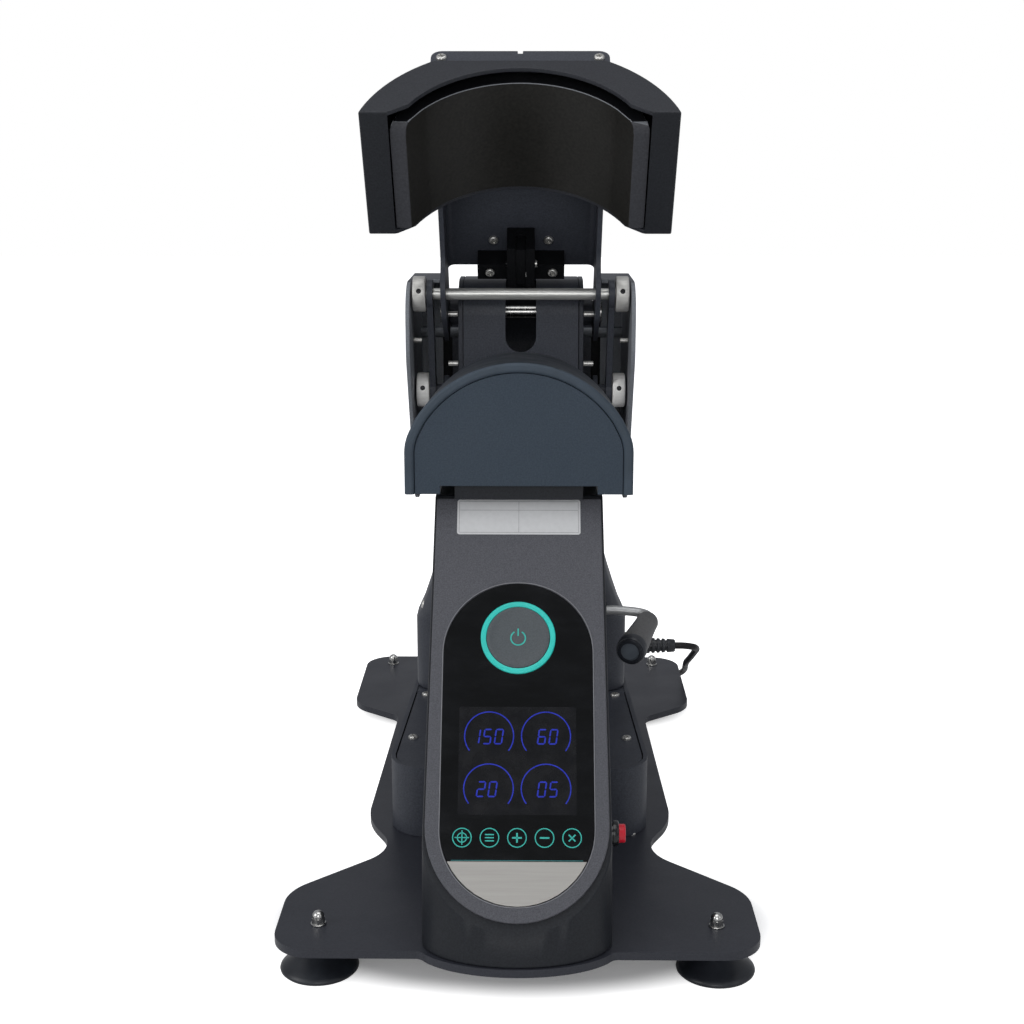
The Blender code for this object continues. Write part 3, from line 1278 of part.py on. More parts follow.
def make_arm(head):
    """One sheet folded to a channel: a folded section kept only where the side view is filled."""
    top = WEB_LOW + ARM_THICK
    rod_y = PIVOT_Y + ROD_Y
    rod_z = PIVOT_Z + ROD_Z
    inner = ARM_OUT - ARM_THICK
    turn = ARM_BEND - ARM_THICK
    end = PIVOT_Y + ARM_PIVOT_ROUND
    low = rod_z - 2 * ARM_ROD_ROUND
    tip = HEAD_REAR - TONGUE_REACH
    front = HEAD_REAR + ARM_BEHIND_HEAD
    outside = rounded([(ARM_OUT, low, 0.0), (ARM_OUT, top, ARM_BEND), (-ARM_OUT, top, ARM_BEND),
                       (-ARM_OUT, low, 0.0)])
    inside = rounded([(-inner, low, 0.0), (-inner, WEB_LOW, turn), (inner, WEB_LOW, turn), (inner, low, 0.0)])
    folded = closed(prism(outside + inside, "Y", tip, end + OVERRUN))
    channel = piece("arm_channel", folded, "charcoal_paint", head, smooth=40.0)
    reach = ARM_OUT + OVERRUN
    keep = channel.modifiers.new("side shape", "BOOLEAN")
    keep.operation = "INTERSECT"
    keep.object = cutter("arm_side_shape", closed(prism(arm_side(), "X", -reach, reach)), head)

    room = inner + OVERRUN / 20
    above = top + OVERRUN
    spaces = box((-room, WEB_REAR, WEB_LOW - 2 * OVERRUN), (room, end + 2 * OVERRUN, above))
    for sign in (-1, 1):
        span = sorted((sign * TONGUE_HALF, sign * reach))
        beside = [(span[0], tip - OVERRUN), (span[1], tip - OVERRUN), (span[1], front), (span[0], front)]
        add_prism(spaces, beside, "Z", low - OVERRUN, above)
    cut(channel, cutter("arm_spaces", closed(spaces), head))
    holes = bmesh.new()
    for y, z, radius in ((PIVOT_Y, PIVOT_Z, SHAFT_RADIUS), (rod_y, rod_z, ROD_RADIUS)):
        add_lathe(holes, rod_profile(radius + GAP, -reach, reach), "X", (0.0, y, z), 16)
    cut(channel, cutter("arm_holes", closed(holes), head))
    make_stop_bracket(head)

    rod_half = COLLAR_IN + COLLAR_WIDTH
    rod = lathe(rod_profile(ROD_RADIUS, -rod_half, rod_half), "X", (0.0, rod_y, rod_z), 20)
    piece("cross_rod", closed(rod), "polished_steel", head)
    make_collars("upper", head)


def make_stop_bracket(head):
    high = WEB_LOW - GAP
    low = high - CLEVIS_DEEP
    stop = box((-STOP_HALF, STOP_FRONT, high - STOP_DEEP), (STOP_HALF, STOP_REAR, high))
    bracket = piece("stop_bracket", closed(stop), "black_paint", head)
    fork = box((-CLEVIS_HALF, CLEVIS_FRONT, low), (CLEVIS_HALF, CLEVIS_REAR, high - GAP))
    fuse(bracket, cutter("arm_clevis", closed(fork), head))
    slit = box((-CLEVIS_SLOT_HALF, CLEVIS_FRONT - OVERRUN, low - OVERRUN),
               (CLEVIS_SLOT_HALF, CLEVIS_REAR + OVERRUN, high - CLEVIS_ROOF))
    cut(bracket, cutter("clevis_slit", closed(slit), head))


# Lever


def make_lever():
    pivot = empty("lever_pivot", (0.0, LEVER_Y, LEVER_Z))
    block = box((LEVER_BRACKET_LOW_X, LEVER_Y - LEVER_BRACKET_HALF, LEVER_Z - LEVER_BRACKET_HALF),
                (LEVER_BRACKET_HIGH_X, LEVER_BRACKET_BACK, LEVER_Z + LEVER_BRACKET_HALF))
    bracket = piece("lever_bracket", block, "black_paint")
    cut(bracket, cutter("bracket_seat", tower_block(-GAP)))
    bore = cylinder(LEVER_RADIUS + GAP, "X", (0.0, LEVER_Y, LEVER_Z), LEVER_START_X - OVERRUN,
                    LEVER_BRACKET_HIGH_X + OVERRUN)
    cut(bracket, cutter("bracket_bore", bore))
    route = [(LEVER_START_X + x * LEVER_REACH, y * LEVER_REACH, z * LEVER_REACH) for x, y, z in LEVER_SHARES]
    line = smooth_curve(route, LEVER_POINTS)
    tube("lever_rod", line, LEVER_RADIUS, "polished_steel", 3, pivot)
    heading = (line[-1] - line[-2]).normalized()
    turned = Vector((0.0, 0.0, 1.0)).rotation_difference(heading).to_matrix().to_4x4()
    seat = line[-1] + heading * GAP
    made = piece("lever_grip", turned_grip(GRIP_SHARES, GRIP_RADIUS, GRIP_LENGTH), "grey_plastic", pivot)
    made.matrix_local = Matrix.Translation(seat) @ turned
    cap = turned_grip(GRIP_CAP_SHARES, GRIP_CAP_RADIUS, GRIP_CAP_LENGTH)
    made = piece("lever_grip_cap", cap, "black_rubber", pivot)
    made.matrix_local = Matrix.Translation(seat + heading * (GRIP_LENGTH + GAP)) @ turned


def turned_grip(shares, radius, length):
    profile = [(across * radius, along * length) for across, along in shares]
    return lathe([(0.0, 0.0)] + profile + [(0.0, length)], steps=24)


# Strain relief, cord, coil and plug


def coil_points():
    """Loops that spiral in on the floor, climb in half a turn and spiral out, then the tail to the plug."""
    per_layer = COIL_TURNS / COIL_LAYERS
    spread = COIL_PITCH * per_layer
    outer = COIL_MID_RADIUS + spread / 2
    count = round(COIL_TURNS * COIL_LOOP_POINTS)
    points = [Vector((COIL_X + 2 * CORD_RADIUS, COIL_Y - outer, CORD_LIFT))]
    for i in range(count + 1):
        turn = i / COIL_LOOP_POINTS
        layer = turn / per_layer
        radius = outer - spread * min(layer, 2 - layer)
        lift = min(max((turn - per_layer + 0.25) / 0.5, 0.0), 1.0)
        lift = lift * lift * (3 - 2 * lift)
        angle = -math.pi / 2 - math.tau * turn
        points.append(Vector((COIL_X + radius * math.cos(angle), COIL_Y + radius * math.sin(angle),
                              CORD_LIFT + lift * COIL_PITCH)))
    tail = [points[-1]] + [points[-1] + Vector(step) for step in TAIL_ROUTE]
    return points, smooth_curve(tail, TAIL_POINTS)[1:]


def least_gap(points, skip):
    """The least clear space between stretches of the coil that aren't neighbours along it."""
    least = math.inf
    for i in range(len(points) - 1):
        for j in range(i + skip, len(points) - 1):
            least = min(least, stretch_gap(points[i], points[i + 1], points[j], points[j + 1]))
    return least - 2 * CORD_RADIUS


def stretch_gap(a, b, c, d):
    least = math.inf
    line = d - c
    for i in range(5):
        point = a.lerp(b, i / 4)
        share = min(max((point - c).dot(line) / line.length_squared, 0.0), 1.0)
        least = min(least, (point - (c + line * share)).length)
    return least


def plug_ring(along, half, turn):
    outline = rounded([(-half, -half, turn), (half, -half, turn), (half, half, turn), (-half, half, turn)], 4)
    return [(x, along, z) for x, z in outline]


def make_plug(end):
    rings = []
    for along, wide in PLUG_SHARES:
        turn = max(PLUG_ROUND * wide, PLUG_HALF * (1.0 - along) / 3)
        rings.append(plug_ring(along * PLUG_LENGTH, wide * PLUG_HALF, turn))
    plug = piece("plug", loft(rings), "black_rubber", location=end, smooth=50.0)
    blades = bmesh.new()
    low = PLUG_LENGTH - OVERRUN
    high = PLUG_LENGTH + BLADE_REACH
    bottom = BLADE_LINE - BLADE_HALF_HIGH
    top = BLADE_LINE + BLADE_HALF_HIGH
    for side in (-1, 1):
        inner = side * BLADE_SPACING / 2 - BLADE_HALF_THICK
        outer = side * BLADE_SPACING / 2 + BLADE_HALF_THICK
        add_prism(blades, [(inner, bottom), (outer, bottom), (outer, top), (inner, top)], "Y", low, high)
    add_lathe(blades, rod_profile(EARTH_RADIUS, low, high), "Y", (0.0, 0.0, -EARTH_LINE), 12)
    fuse(plug, cutter("plug_blades", blades, location=end))


def make_cord():
    centre = (0.0, GLAND_Y, GLAND_Z)
    wall = HOUSING_REAR_HALF
    seat = wall + GAP
    tip = seat + GLAND_LENGTH
    inside = wall - TOWER_WALL - GLAND_FLANGE_THICK
    flange = seat + GLAND_FLANGE_THICK
    gland = [(0.0, inside), (GLAND_ROOT_RADIUS, inside), (GLAND_ROOT_RADIUS, seat),
             (GLAND_FLANGE_RADIUS, seat), (GLAND_FLANGE_RADIUS, flange), (GLAND_ROOT_RADIUS, flange),
             (GLAND_TIP_RADIUS, tip), (0.0, tip)]
    piece("strain_relief", lathe(gland, "X", centre, 20), "black_rubber")

    start = Vector((tip + GAP, GLAND_Y, GLAND_Z))
    coil, tail = coil_points()
    meet = coil[0] + Vector((GAP, 0.0, 0.0))
    route = [start, start + Vector((2 * CORD_RADIUS, 0.0, 0.0))] + [Vector(point) for point in CORD_ROUTE]
    route += [meet + Vector((2 * CORD_RADIUS, 0.0, 0.0)), meet]
    free = smooth_curve(route, CORD_POINTS)
    tube("power_cord", free, CORD_RADIUS, "black_rubber", 2)
    tube("cord_coil", coil + tail, CORD_RADIUS, "black_rubber", 1)
    end = (coil + tail)[-1] + Vector((0.0, GAP, 0.0))
    make_plug(end)
    clear = least_gap(coil, COIL_LOOP_POINTS // 2)
    total = path_length(free) + path_length(coil + tail)
    print(f"cord {total:.3f} m of {CORD_LENGTH} m, least gap in the coil {clear * 1000:.2f} mm")


def main():
    clear_scene()
    make_base()
    make_console()
    make_housing()
    make_tower()
    make_neck()
    make_drive()
    make_bed()
    head = empty("head_pivot", (0.0, PIVOT_Y, PIVOT_Z), -OPEN_ANGLE)
    make_head(head)
    make_arm(head)
    make_lever()
    make_cord()


main()
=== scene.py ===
"""Looks of the cap heat press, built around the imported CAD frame."""

import json
import math

import bmesh
import bpy
from mathutils import Matrix, Vector

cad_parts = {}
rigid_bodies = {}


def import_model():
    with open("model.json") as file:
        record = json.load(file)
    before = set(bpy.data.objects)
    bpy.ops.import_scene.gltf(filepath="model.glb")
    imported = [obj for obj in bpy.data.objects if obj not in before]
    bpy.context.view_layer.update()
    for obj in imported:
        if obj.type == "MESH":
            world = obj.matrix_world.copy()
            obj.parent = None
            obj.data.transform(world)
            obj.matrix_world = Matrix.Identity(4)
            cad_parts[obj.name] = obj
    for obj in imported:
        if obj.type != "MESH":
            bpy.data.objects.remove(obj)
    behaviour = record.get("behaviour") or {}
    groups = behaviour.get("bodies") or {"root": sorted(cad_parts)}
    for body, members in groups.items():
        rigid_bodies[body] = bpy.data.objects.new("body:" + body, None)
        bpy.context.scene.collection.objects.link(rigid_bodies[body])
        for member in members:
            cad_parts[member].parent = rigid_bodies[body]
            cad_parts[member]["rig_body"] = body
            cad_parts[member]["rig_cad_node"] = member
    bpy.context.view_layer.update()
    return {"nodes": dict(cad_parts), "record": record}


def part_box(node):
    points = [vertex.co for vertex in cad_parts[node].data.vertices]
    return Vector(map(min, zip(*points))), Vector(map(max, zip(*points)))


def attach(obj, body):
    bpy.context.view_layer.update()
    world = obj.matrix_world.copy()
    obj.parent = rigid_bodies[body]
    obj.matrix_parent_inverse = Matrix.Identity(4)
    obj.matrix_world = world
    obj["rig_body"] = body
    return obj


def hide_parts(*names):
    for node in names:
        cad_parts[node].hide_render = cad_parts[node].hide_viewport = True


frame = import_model()

# Places and sizes, in metres and degrees

UP = (0.0, 0.0, 1.0)
DOWN = (0.0, 0.0, -1.0)
RIGHT = (1.0, 0.0, 0.0)
LEFT = (-1.0, 0.0, 0.0)
FRONT = (0.0, -1.0, 0.0)
BACK = (0.0, 1.0, 0.0)
SHEET_EDGE = 0.0004
FOLD_ANGLE = 50.0
SHARP_ANGLE = 60.0
TINY = 0.00001
EVEN = (1.0, 1.0, 1.0)

EYE = (0.0079, -1.121, 0.492)
EYE_DOWN = 13.0
EYE_TURN = 0.0125
EYE_LENS = 56.25

LEAN = 34.0
FACE_FOOT = (0.0, -0.286, 0.057)
PANEL_PROUD = 0.0003
START_LENGTH = 0.171
START_RING = (0.0195, 0.0227)
SILVER_TOP = 0.0365
PANEL_SPAN = (0.0105, 0.2057)
PANEL_HALF = 0.0452
PANEL_GAP = 0.0003
DISPLAY_HALF = 0.0348
DISPLAY_SPAN = (0.0633, 0.1278)
GAUGE_SPREAD = 0.0169
GAUGE_MIDDLE = 0.0944
GAUGE_RISE = 0.0157
GAUGE_RADIUS = 0.0149
GAUGE_SWEEP = (-38.0, 218.0)
SIGN_SWEEP = (120.0, 420.0)
FIGURE_STEP = 0.0068
FIGURE_WIDE = 0.0042
FIGURE_HIGH = 0.0086
FIGURE_LINE = 0.0009
FIGURE_SLANT = 0.14
KEY_LINE = 0.0500
KEY_STEP = 0.0160
KEY_RADIUS = 0.0057
LABEL_HALF = 0.0385
LABEL_SPAN = (0.2378, 0.2610)
LABEL_LINE = 0.0003
LABEL_EDGE = 0.0013
INK = 0.00005

# Corners of the base plate's right half, from the nose to the back: across, along, rounding
PLATE_CORNERS = (
    (0.1458, -0.2655, 0.024), (0.1457, -0.1889, 0.036), (0.0818, -0.1258, 0.033), (0.1063, -0.0770, 0.080),
    (0.1013, 0.1290, 0.014), (0.1410, 0.1605, 0.030), (0.1410, 0.2870, 0.024),
)
# Shadows that the floor keeps: middle along, and reach across and along
FLOOR_SHADOWS = ((-0.165, (0.174, 0.100)), (0.235, (0.150, 0.066)))
FLOOR_FADE = {"From Min": 0.80, "From Max": 1.10, "To Min": 0.14, "To Max": 1.0}
# Studs on each side of the neck: nearest across, length, along, height
NECK_STUDS = (
    (0.0707, 0.0072, 0.0200, 0.3545), (0.0445, 0.0070, 0.0112, 0.3740), (0.0445, 0.0070, 0.0112, 0.3390),
)
STUD_RADIUS = 0.0018
VENT_COUNT = 7
VENT_LOW = 0.112
VENT_STEP = 0.0075
VENT_HALF = 0.024
VENT_RISE = 0.0013
SEAT_LOW = (-0.0830, 0.0499, 0.0770)
SEAT_HIGH = (0.0830, 0.0860, 0.0793)
SEAT_TAPER = 0.93
SEAM_HALF = 0.0035
NOSE_ARC = (0.0607, 0.0330, -0.2540)
NOSE_FILLET = 0.016

PIVOT = (0.0, 0.042, 0.3725)
OPEN_TURN = 55.0
HEATER_LEG_END = 0.0070
HEATER_DROP = 0.0060
HEATER_LEG_INSIDE = 0.0705
HEATER_LEG_SPREAD = 1.055
BED_TAPER = 0.945
SCREW_RADIUS = 0.0034
SCREW_HIGH = 0.0020
RECESS_REACH = SCREW_RADIUS * 0.62
RECESS_HALF = SCREW_RADIUS * 0.13
RECESS_FLOOR = SCREW_HIGH * 0.35
RECESS_TURN = 20.0
GRUB_RADIUS = 0.0017
COLLAR_RADIUS = 0.0123
COLLAR_WIDE = 0.0090
COLLAR_EDGE = ((0.0009, 0.0), (0.0005, 0.0002), (0.0, 0.0009))
COLLAR_BORE = 0.0043
COLLAR_SCREW_WAY = (0.0, -0.97, 0.24)

LEVER_ROOT = (0.0500, 0.034, 0.150)
LEVER_REACH = 0.0460
LEVER_RADIUS = 0.0035
LEVER_SHARES = (
    (0.0, 0.0, 0.0), (0.20, 0.0, 0.0), (0.42, 0.0, 0.0), (0.70, 0.0, -0.02), (0.86, -0.01, -0.04),
    (0.96, -0.07, -0.055), (1.0, -0.17, -0.072), (0.975, -0.28, -0.087),
)

GLAND_TIP = (0.1214, 0.085, 0.106)
CORD_RADIUS = 0.0027
CORD_LIFT = 0.0030
CORD_ROUTE = (
    (0.1290, 0.0854, 0.1058), (0.1360, 0.0892, 0.1036), (0.1398, 0.1010, 0.0982), (0.1404, 0.1210, 0.0890),
    (0.1404, 0.1500, 0.0752), (0.1412, 0.1850, 0.0602), (0.1436, 0.2180, 0.0472), (0.1462, 0.2480, 0.0352),
    (0.1478, 0.2740, 0.0222), (0.1440, 0.2960, 0.0108), (0.1320, 0.3040, 0.0044), (0.1140, 0.3032, 0.0031),
    (0.0900, 0.3012, 0.0030), (0.0600, 0.3008, 0.0030), (0.0360, 0.3008, 0.0030),
)
COIL_CENTRE = (0.020, 0.343)
COIL_RADIUS = 0.0325
COIL_PITCH = 0.0062
COIL_TURNS = 6.25
COIL_TURN_POINTS = 24
TAIL_ROUTE = (
    (-0.0003, 0.010, 0.0), (-0.0040, 0.032, 0.0015), (-0.0140, 0.062, 0.0035), (-0.0240, 0.094, 0.0046),
    (-0.0300, 0.126, 0.0048), (-0.0310, 0.144, 0.0048), (-0.0310, 0.152, 0.0048),
)


def linear(hex_colour):
    """A colour as written on a screen, such as "4a525e", in the renderer's own scale."""
    parts = [int(hex_colour[i:i + 2], 16) / 255 for i in (0, 2, 4)]
    return (*[p / 12.92 if p <= 0.04045 else ((p + 0.055) / 1.055) ** 2.4 for p in parts], 1.0)


# Camera, drawn lines and cord


def set_camera():
    """The photograph's viewpoint."""
    lens = bpy.data.cameras.new("camera")
    lens.lens = EYE_LENS
    eye = bpy.data.objects.new("camera", lens)
    bpy.context.scene.collection.objects.link(eye)
    eye.location = EYE
    eye.rotation_euler = (math.radians(90.0 - EYE_DOWN), 0.0, EYE_TURN)
    bpy.context.scene.camera = eye


def evenly(fine, count):
    total = sum((b - a).length for a, b in zip(fine, fine[1:]))
    read = [fine[0]]
    walked = 0.0
    for a, b in zip(fine, fine[1:]):
        step = (b - a).length
        while len(read) < count - 1 and walked + step >= total * len(read) / (count - 1):
            read.append(a.lerp(b, (total * len(read) / (count - 1) - walked) / step))
        walked += step
    return read + [fine[-1]]


def smooth_line(route, count):
    """Equally spaced points on a smooth line through the route."""
    fine = []
    for i in range(len(route) - 1):
        p0, p1, p2, p3 = (Vector(route[min(max(i + k, 0), len(route) - 1)]) for k in (-1, 0, 1, 2))
        for j in range(24):
            t = j / 24
            fine.append(0.5 * (2 * p1 + (p2 - p0) * t + (2 * p0 - 5 * p1 + 4 * p2 - p3) * t**2
                               + (3 * p1 - p0 - 3 * p2 + p3) * t**3))
    fine.append(Vector(route[-1]))
    return evenly(fine, count)


def coil_line():
    layer_turns = COIL_TURNS / 2
    spread = COIL_PITCH * layer_turns
    outer = COIL_RADIUS + spread / 2
    x, y = COIL_CENTRE
    points = [Vector((x + 2 * CORD_RADIUS, y - outer, CORD_LIFT))]
    for i in range(round(COIL_TURNS * COIL_TURN_POINTS) + 1):
        turn = i / COIL_TURN_POINTS
        layer = turn / layer_turns
        radius = outer - spread * min(layer, 2 - layer)
        lift = min(max((turn - layer_turns + 0.25) / 0.5, 0.0), 1.0)
        lift = lift * lift * (3 - 2 * lift)
        angle = -math.pi / 2 - math.tau * turn
        points.append(Vector((x + radius * math.cos(angle), y + radius * math.sin(angle),
                              CORD_LIFT + lift * COIL_PITCH)))
    tail = [points[-1]] + [points[-1] + Vector(step) for step in TAIL_ROUTE]
    return points + smooth_line(tail, 12)[1:]


def drawn_line(name, points, thick=0.0, rounds=0, closed=False):
    """A line through the points, as a round rod of that radius."""
    data = bpy.data.curves.new(name, "CURVE")
    data.dimensions = "3D"
    data.bevel_depth = thick
    data.bevel_resolution = rounds
    data.use_fill_caps = not closed
    spline = data.splines.new("POLY")
    spline.points.add(len(points) - 1)
    for point, place in zip(spline.points, points):
        point.co = (*place, 1.0)
    spline.use_cyclic_u = closed
    line = bpy.data.objects.new(name, data)
    bpy.context.scene.collection.objects.link(line)
    return line


def as_mesh(line):
    pick_only(line)
    bpy.ops.object.convert(target="MESH")
    return bpy.context.object


def lay_cord():
    start = Vector(GLAND_TIP)
    coil = coil_line()
    straight = Vector((2 * CORD_RADIUS, 0.0, 0.0))
    route = [start, start + straight] + [Vector(p) for p in CORD_ROUTE] + [coil[0] + straight]
    cord = drawn_line("mains_cord", smooth_line(route, 72) + coil, CORD_RADIUS, 4)
    cord.data.materials.append(FINISH["cord"])
    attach(cord, "frame")
    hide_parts("power_cord", "cord_coil")


# Finishes


def add_node(tree, kind, sockets=None, **settings):
    """A new shader node with its settings, its sockets set to values or linked to other nodes."""
    made = tree.nodes.new("ShaderNode" + kind)
    for name, value in settings.items():
        setattr(made, name, value)
    for name, value in (sockets or {}).items():
        if isinstance(value, bpy.types.NodeSocket):
            tree.links.new(value, made.inputs[name])
        else:
            made.inputs[name].default_value = value
    return made


class Finish:
    """A material that is built up from its Principled shader by small node steps."""

    def __init__(self, name, dark, light, roughness, metallic=0.0, sheen=0.5):
        self.material = bpy.data.materials.new(name)
        self.material.use_nodes = True
        self.tree = self.material.node_tree
        self.link = self.tree.links.new
        self.sockets = self.tree.nodes["Principled BSDF"].inputs
        self.shades = (linear(dark), linear(light))
        self.roughness = roughness
        self.sockets["Base Color"].default_value = self.shades[0]
        self.sockets["Metallic"].default_value = metallic
        self.sockets["Specular IOR Level"].default_value = sheen
        self.place = add_node(self.tree, "TexCoord").outputs["Object"]

    def noise(self, scale, detail=2.0, stretch=EVEN, grain=0.5):
        place = add_node(self.tree, "Mapping", {"Vector": self.place, "Scale": stretch}).outputs["Vector"]
        values = {"Vector": place, "Scale": scale, "Detail": detail, "Roughness": grain}
        return add_node(self.tree, "TexNoise", values).outputs["Fac"]

    def tint(self, value, low=0.3, high=0.7):
        ramp = add_node(self.tree, "ValToRGB", {"Fac": value})
        for stop, place, shade in zip(ramp.color_ramp.elements, (low, high), self.shades):
            stop.position = place
            stop.color = shade
        self.link(ramp.outputs["Color"], self.sockets["Base Color"])

    def gloss(self, value, below, above):
        low, high = self.roughness - below, self.roughness + above
        values = {"Value": value, "From Min": 0.3, "From Max": 0.7, "To Min": low, "To Max": high}
        spread = add_node(self.tree, "MapRange", values)
        self.link(spread.outputs["Result"], self.sockets["Roughness"])

    def bumps(self, value, height, strength):
        bump = add_node(self.tree, "Bump", {"Height": value, "Strength": strength, "Distance": height})
        self.link(bump.outputs["Normal"], self.sockets["Normal"])


def powder_coat(name, dark, light, roughness, grain=1500.0, height=0.00006, sheen=0.25):
    """Sprayed and baked paint: a fine grain and slight clouds of gloss."""
    made = Finish(name, dark, light, roughness, 0.0, sheen)
    made.tint(made.noise(grain * 0.6, 3.0))
    made.gloss(made.noise(24.0, 3.0), 0.05, 0.06)
    made.bumps(made.noise(grain), height, 0.6)
    return made


def brushed(name, dark, light, roughness, stretch, metallic=1.0):
    """Metal with fine lines along one direction."""
    made = Finish(name, dark, light, roughness, metallic)
    streaks = made.noise(700.0, 4.0, stretch, 0.65)
    made.tint(streaks)
    made.gloss(streaks, 0.05, 0.07)
    return made


def rubber(name, dark, light, roughness, sheen):
    made = Finish(name, dark, light, roughness, 0.0, sheen)
    cloudy = made.noise(60.0, 4.0)
    made.tint(cloudy)
    made.gloss(cloudy, 0.08, 0.10)
    made.bumps(made.noise(1800.0), 0.00003, 0.3)
    return made


def print_ink(name, dark, light, roughness, sheen=0.4):
    """Ink or film, with the faint mottle of a printed layer."""
    made = Finish(name, dark, light, roughness, 0.0, sheen)
    made.tint(made.noise(380.0, 3.0), 0.35, 0.65)
    made.gloss(made.noise(90.0), 0.05, 0.08)
    return made


def smooth_plastic(name, dark, light, roughness):
    made = Finish(name, dark, light, roughness)
    made.tint(made.noise(45.0, 3.0))
    made.gloss(made.noise(160.0, 3.0), 0.06, 0.08)
    made.bumps(made.noise(2200.0, 1.0), 0.00001, 0.2)
    return made


def panel_glass(name, dark, light, roughness):
    """Dark glass with the faint smears that a touched panel has."""
    made = Finish(name, dark, light, roughness, 0.0, 0.26)
    smears = made.noise(26.0, 5.0, (1.0, 2.2, 2.2), 0.7)
    made.tint(smears, 0.4, 0.75)
    made.gloss(smears, 0.05, 0.12)
    return made


FINISHES = {
    "charcoal": (powder_coat, "32353c", "3f424a", 0.46),
    "black": (powder_coat, "181a1f", "212429", 0.46),
    "deep_black": (powder_coat, "0a0b0d", "111215", 0.55, 1500.0, 0.00006, 0.12),
    "head": (powder_coat, "222429", "2d2f35", 0.48, 1700.0, 0.00004),
    "plate": (powder_coat, "282a31", "32343b", 0.36, 1700.0, 0.00003, 0.32),
    "guard": (powder_coat, "31343b", "3c3f47", 0.46),
    # Paler copies of the guard paint: painted light on its inner face and a painted highlight on its front
    # rim
    "guard_inside_painted_light": (powder_coat, "777a80", "84878d", 0.5),
    "guard_edge_painted_highlight": (powder_coat, "70747a", "7f8389", 0.42),
    "fascia": (powder_coat, "45464b", "58595f", 0.6, 2200.0, 0.00010),
    "bed_face": (powder_coat, "2e3843", "37424d", 0.55, 1700.0, 0.00004),
    "pad": (rubber, "333d47", "3c4752", 0.5, 0.3),
    "pad_top": (rubber, "25292f", "2e333a", 0.55, 0.25),
    "heater": (powder_coat, "151412", "201f1c", 0.42, 900.0, 0.00002),
    "heater_edge": (powder_coat, "35363a", "3f4045", 0.4, 1200.0, 0.00002),
    # A pale copy of the heater coating: a painted highlight along its front edge
    "heater_painted_highlight": (powder_coat, "6c6f73", "7a7d82", 0.4, 1200.0, 0.00002),
    "glass": (panel_glass, "050607", "0b0d10", 0.12),
    "rim": (smooth_plastic, "6a6b70", "77787d", 0.35),
    "silver": (brushed, "a19f9b", "adaba7", 0.5, (0.03, 1.0, 1.0)),
    "teal": (smooth_plastic, "1fa59c", "27b4aa", 0.35),
    "button": (powder_coat, "484c50", "545a5d", 0.48, 2200.0, 0.00002),
    "steel": (brushed, "a8a8a6", "d8d7d4", 0.22, (1.0, 0.2, 0.2)),
    "cast": (powder_coat, "77797b", "8c8e90", 0.5, 400.0),
    "rubber": (rubber, "1a1c21", "252930", 0.36, 0.5),
    "cord": (rubber, "0d0d0f", "17181b", 0.42, 0.3),
    "bezel": (smooth_plastic, "101114", "1a1c20", 0.22),
    "red": (smooth_plastic, "c20f28", "d8132c", 0.3),
    "grip": (powder_coat, "545454", "626263", 0.5, 1200.0, 0.00004),
    "grip_plug": (smooth_plastic, "545b63", "646b73", 0.4),
    "board": (powder_coat, "0c3a20", "115030", 0.45, 300.0),
    "screen": (print_ink, "0b0c0f", "101115", 0.24, 0.26),
    "blue": (print_ink, "1f2a96", "2733a8", 0.4, 0.2),
    "key_teal": (print_ink, "2a9a90", "34a89c", 0.4),
    "key_teal_dim": (print_ink, "2a6f70", "2f7c7c", 0.4),
    "label": (print_ink, "c2c3c4", "c6c7c8", 0.42),
    "label_grey": (print_ink, "8e8f92", "9a9b9e", 0.5),
    "screw": (brushed, "b0afab", "d8d7d3", 0.3, EVEN, 0.8),
    "screw_dark": (brushed, "1c1c1e", "3a3a3c", 0.35, EVEN),
    "collar": (brushed, "b9b8b4", "cccbc7", 0.42, (0.2, 1.0, 1.0), 0.45),
    # A paler copy of the collar finish for the lower collars: painted light where the guards shade them
    "collar_low_painted_light": (brushed, "f0efeb", "fbfaf7", 0.42, (0.2, 1.0, 1.0), 0.1),
    "rod": (brushed, "c2c2be", "dadad6", 0.34, (0.05, 1.0, 1.0), 0.7),
    "zinc": (brushed, "a8a9a9", "c4c5c6", 0.4, (0.3, 1.0, 1.0), 0.7),
    "blade": (brushed, "a8a49c", "d6d2c8", 0.26, (1.0, 0.05, 1.0)),
}
FINISH_GLOW = {"teal": 0.30, "blue": 0.22, "key_teal": 0.20}


def make_finishes():
    made = {}
    for name, (kind, *values) in FINISHES.items():
        finish = kind(name, *values)
        if name in FINISH_GLOW:
            finish.sockets["Emission Color"].default_value = finish.shades[0]
            finish.sockets["Emission Strength"].default_value = FINISH_GLOW[name]
        made[name] = finish.material
    return made


FINISH = make_finishes()
NODE_FINISH = {
    "charcoal_paint": "charcoal", "black_paint": "black", "fascia_plastic": "fascia", "bed_paint": "bed_face",
    "heater_coating": "heater", "panel_glass": "glass", "brushed_trim": "silver", "teal_plastic": "teal",
    "grey_plastic": "button", "red_plastic": "red", "polished_steel": "steel", "cast_metal": "cast",
    "silicone": "pad", "black_rubber": "rubber", "circuit_board": "board",
}


def paint_nodes():
    """Every CAD node gets the finish of its slot, and the pieces that stand for nodes come after."""
    for part in frame["record"]["subparts"]:
        node = frame["nodes"][part["node"]]
        node.data.materials.clear()
        node.data.materials.append(FINISH[NODE_FINISH[part["material_slot"]]])


# Modelling helpers


def pick_only(piece):
    bpy.ops.object.select_all(action="DESELECT")
    piece.select_set(True)
    bpy.context.view_layer.objects.active = piece


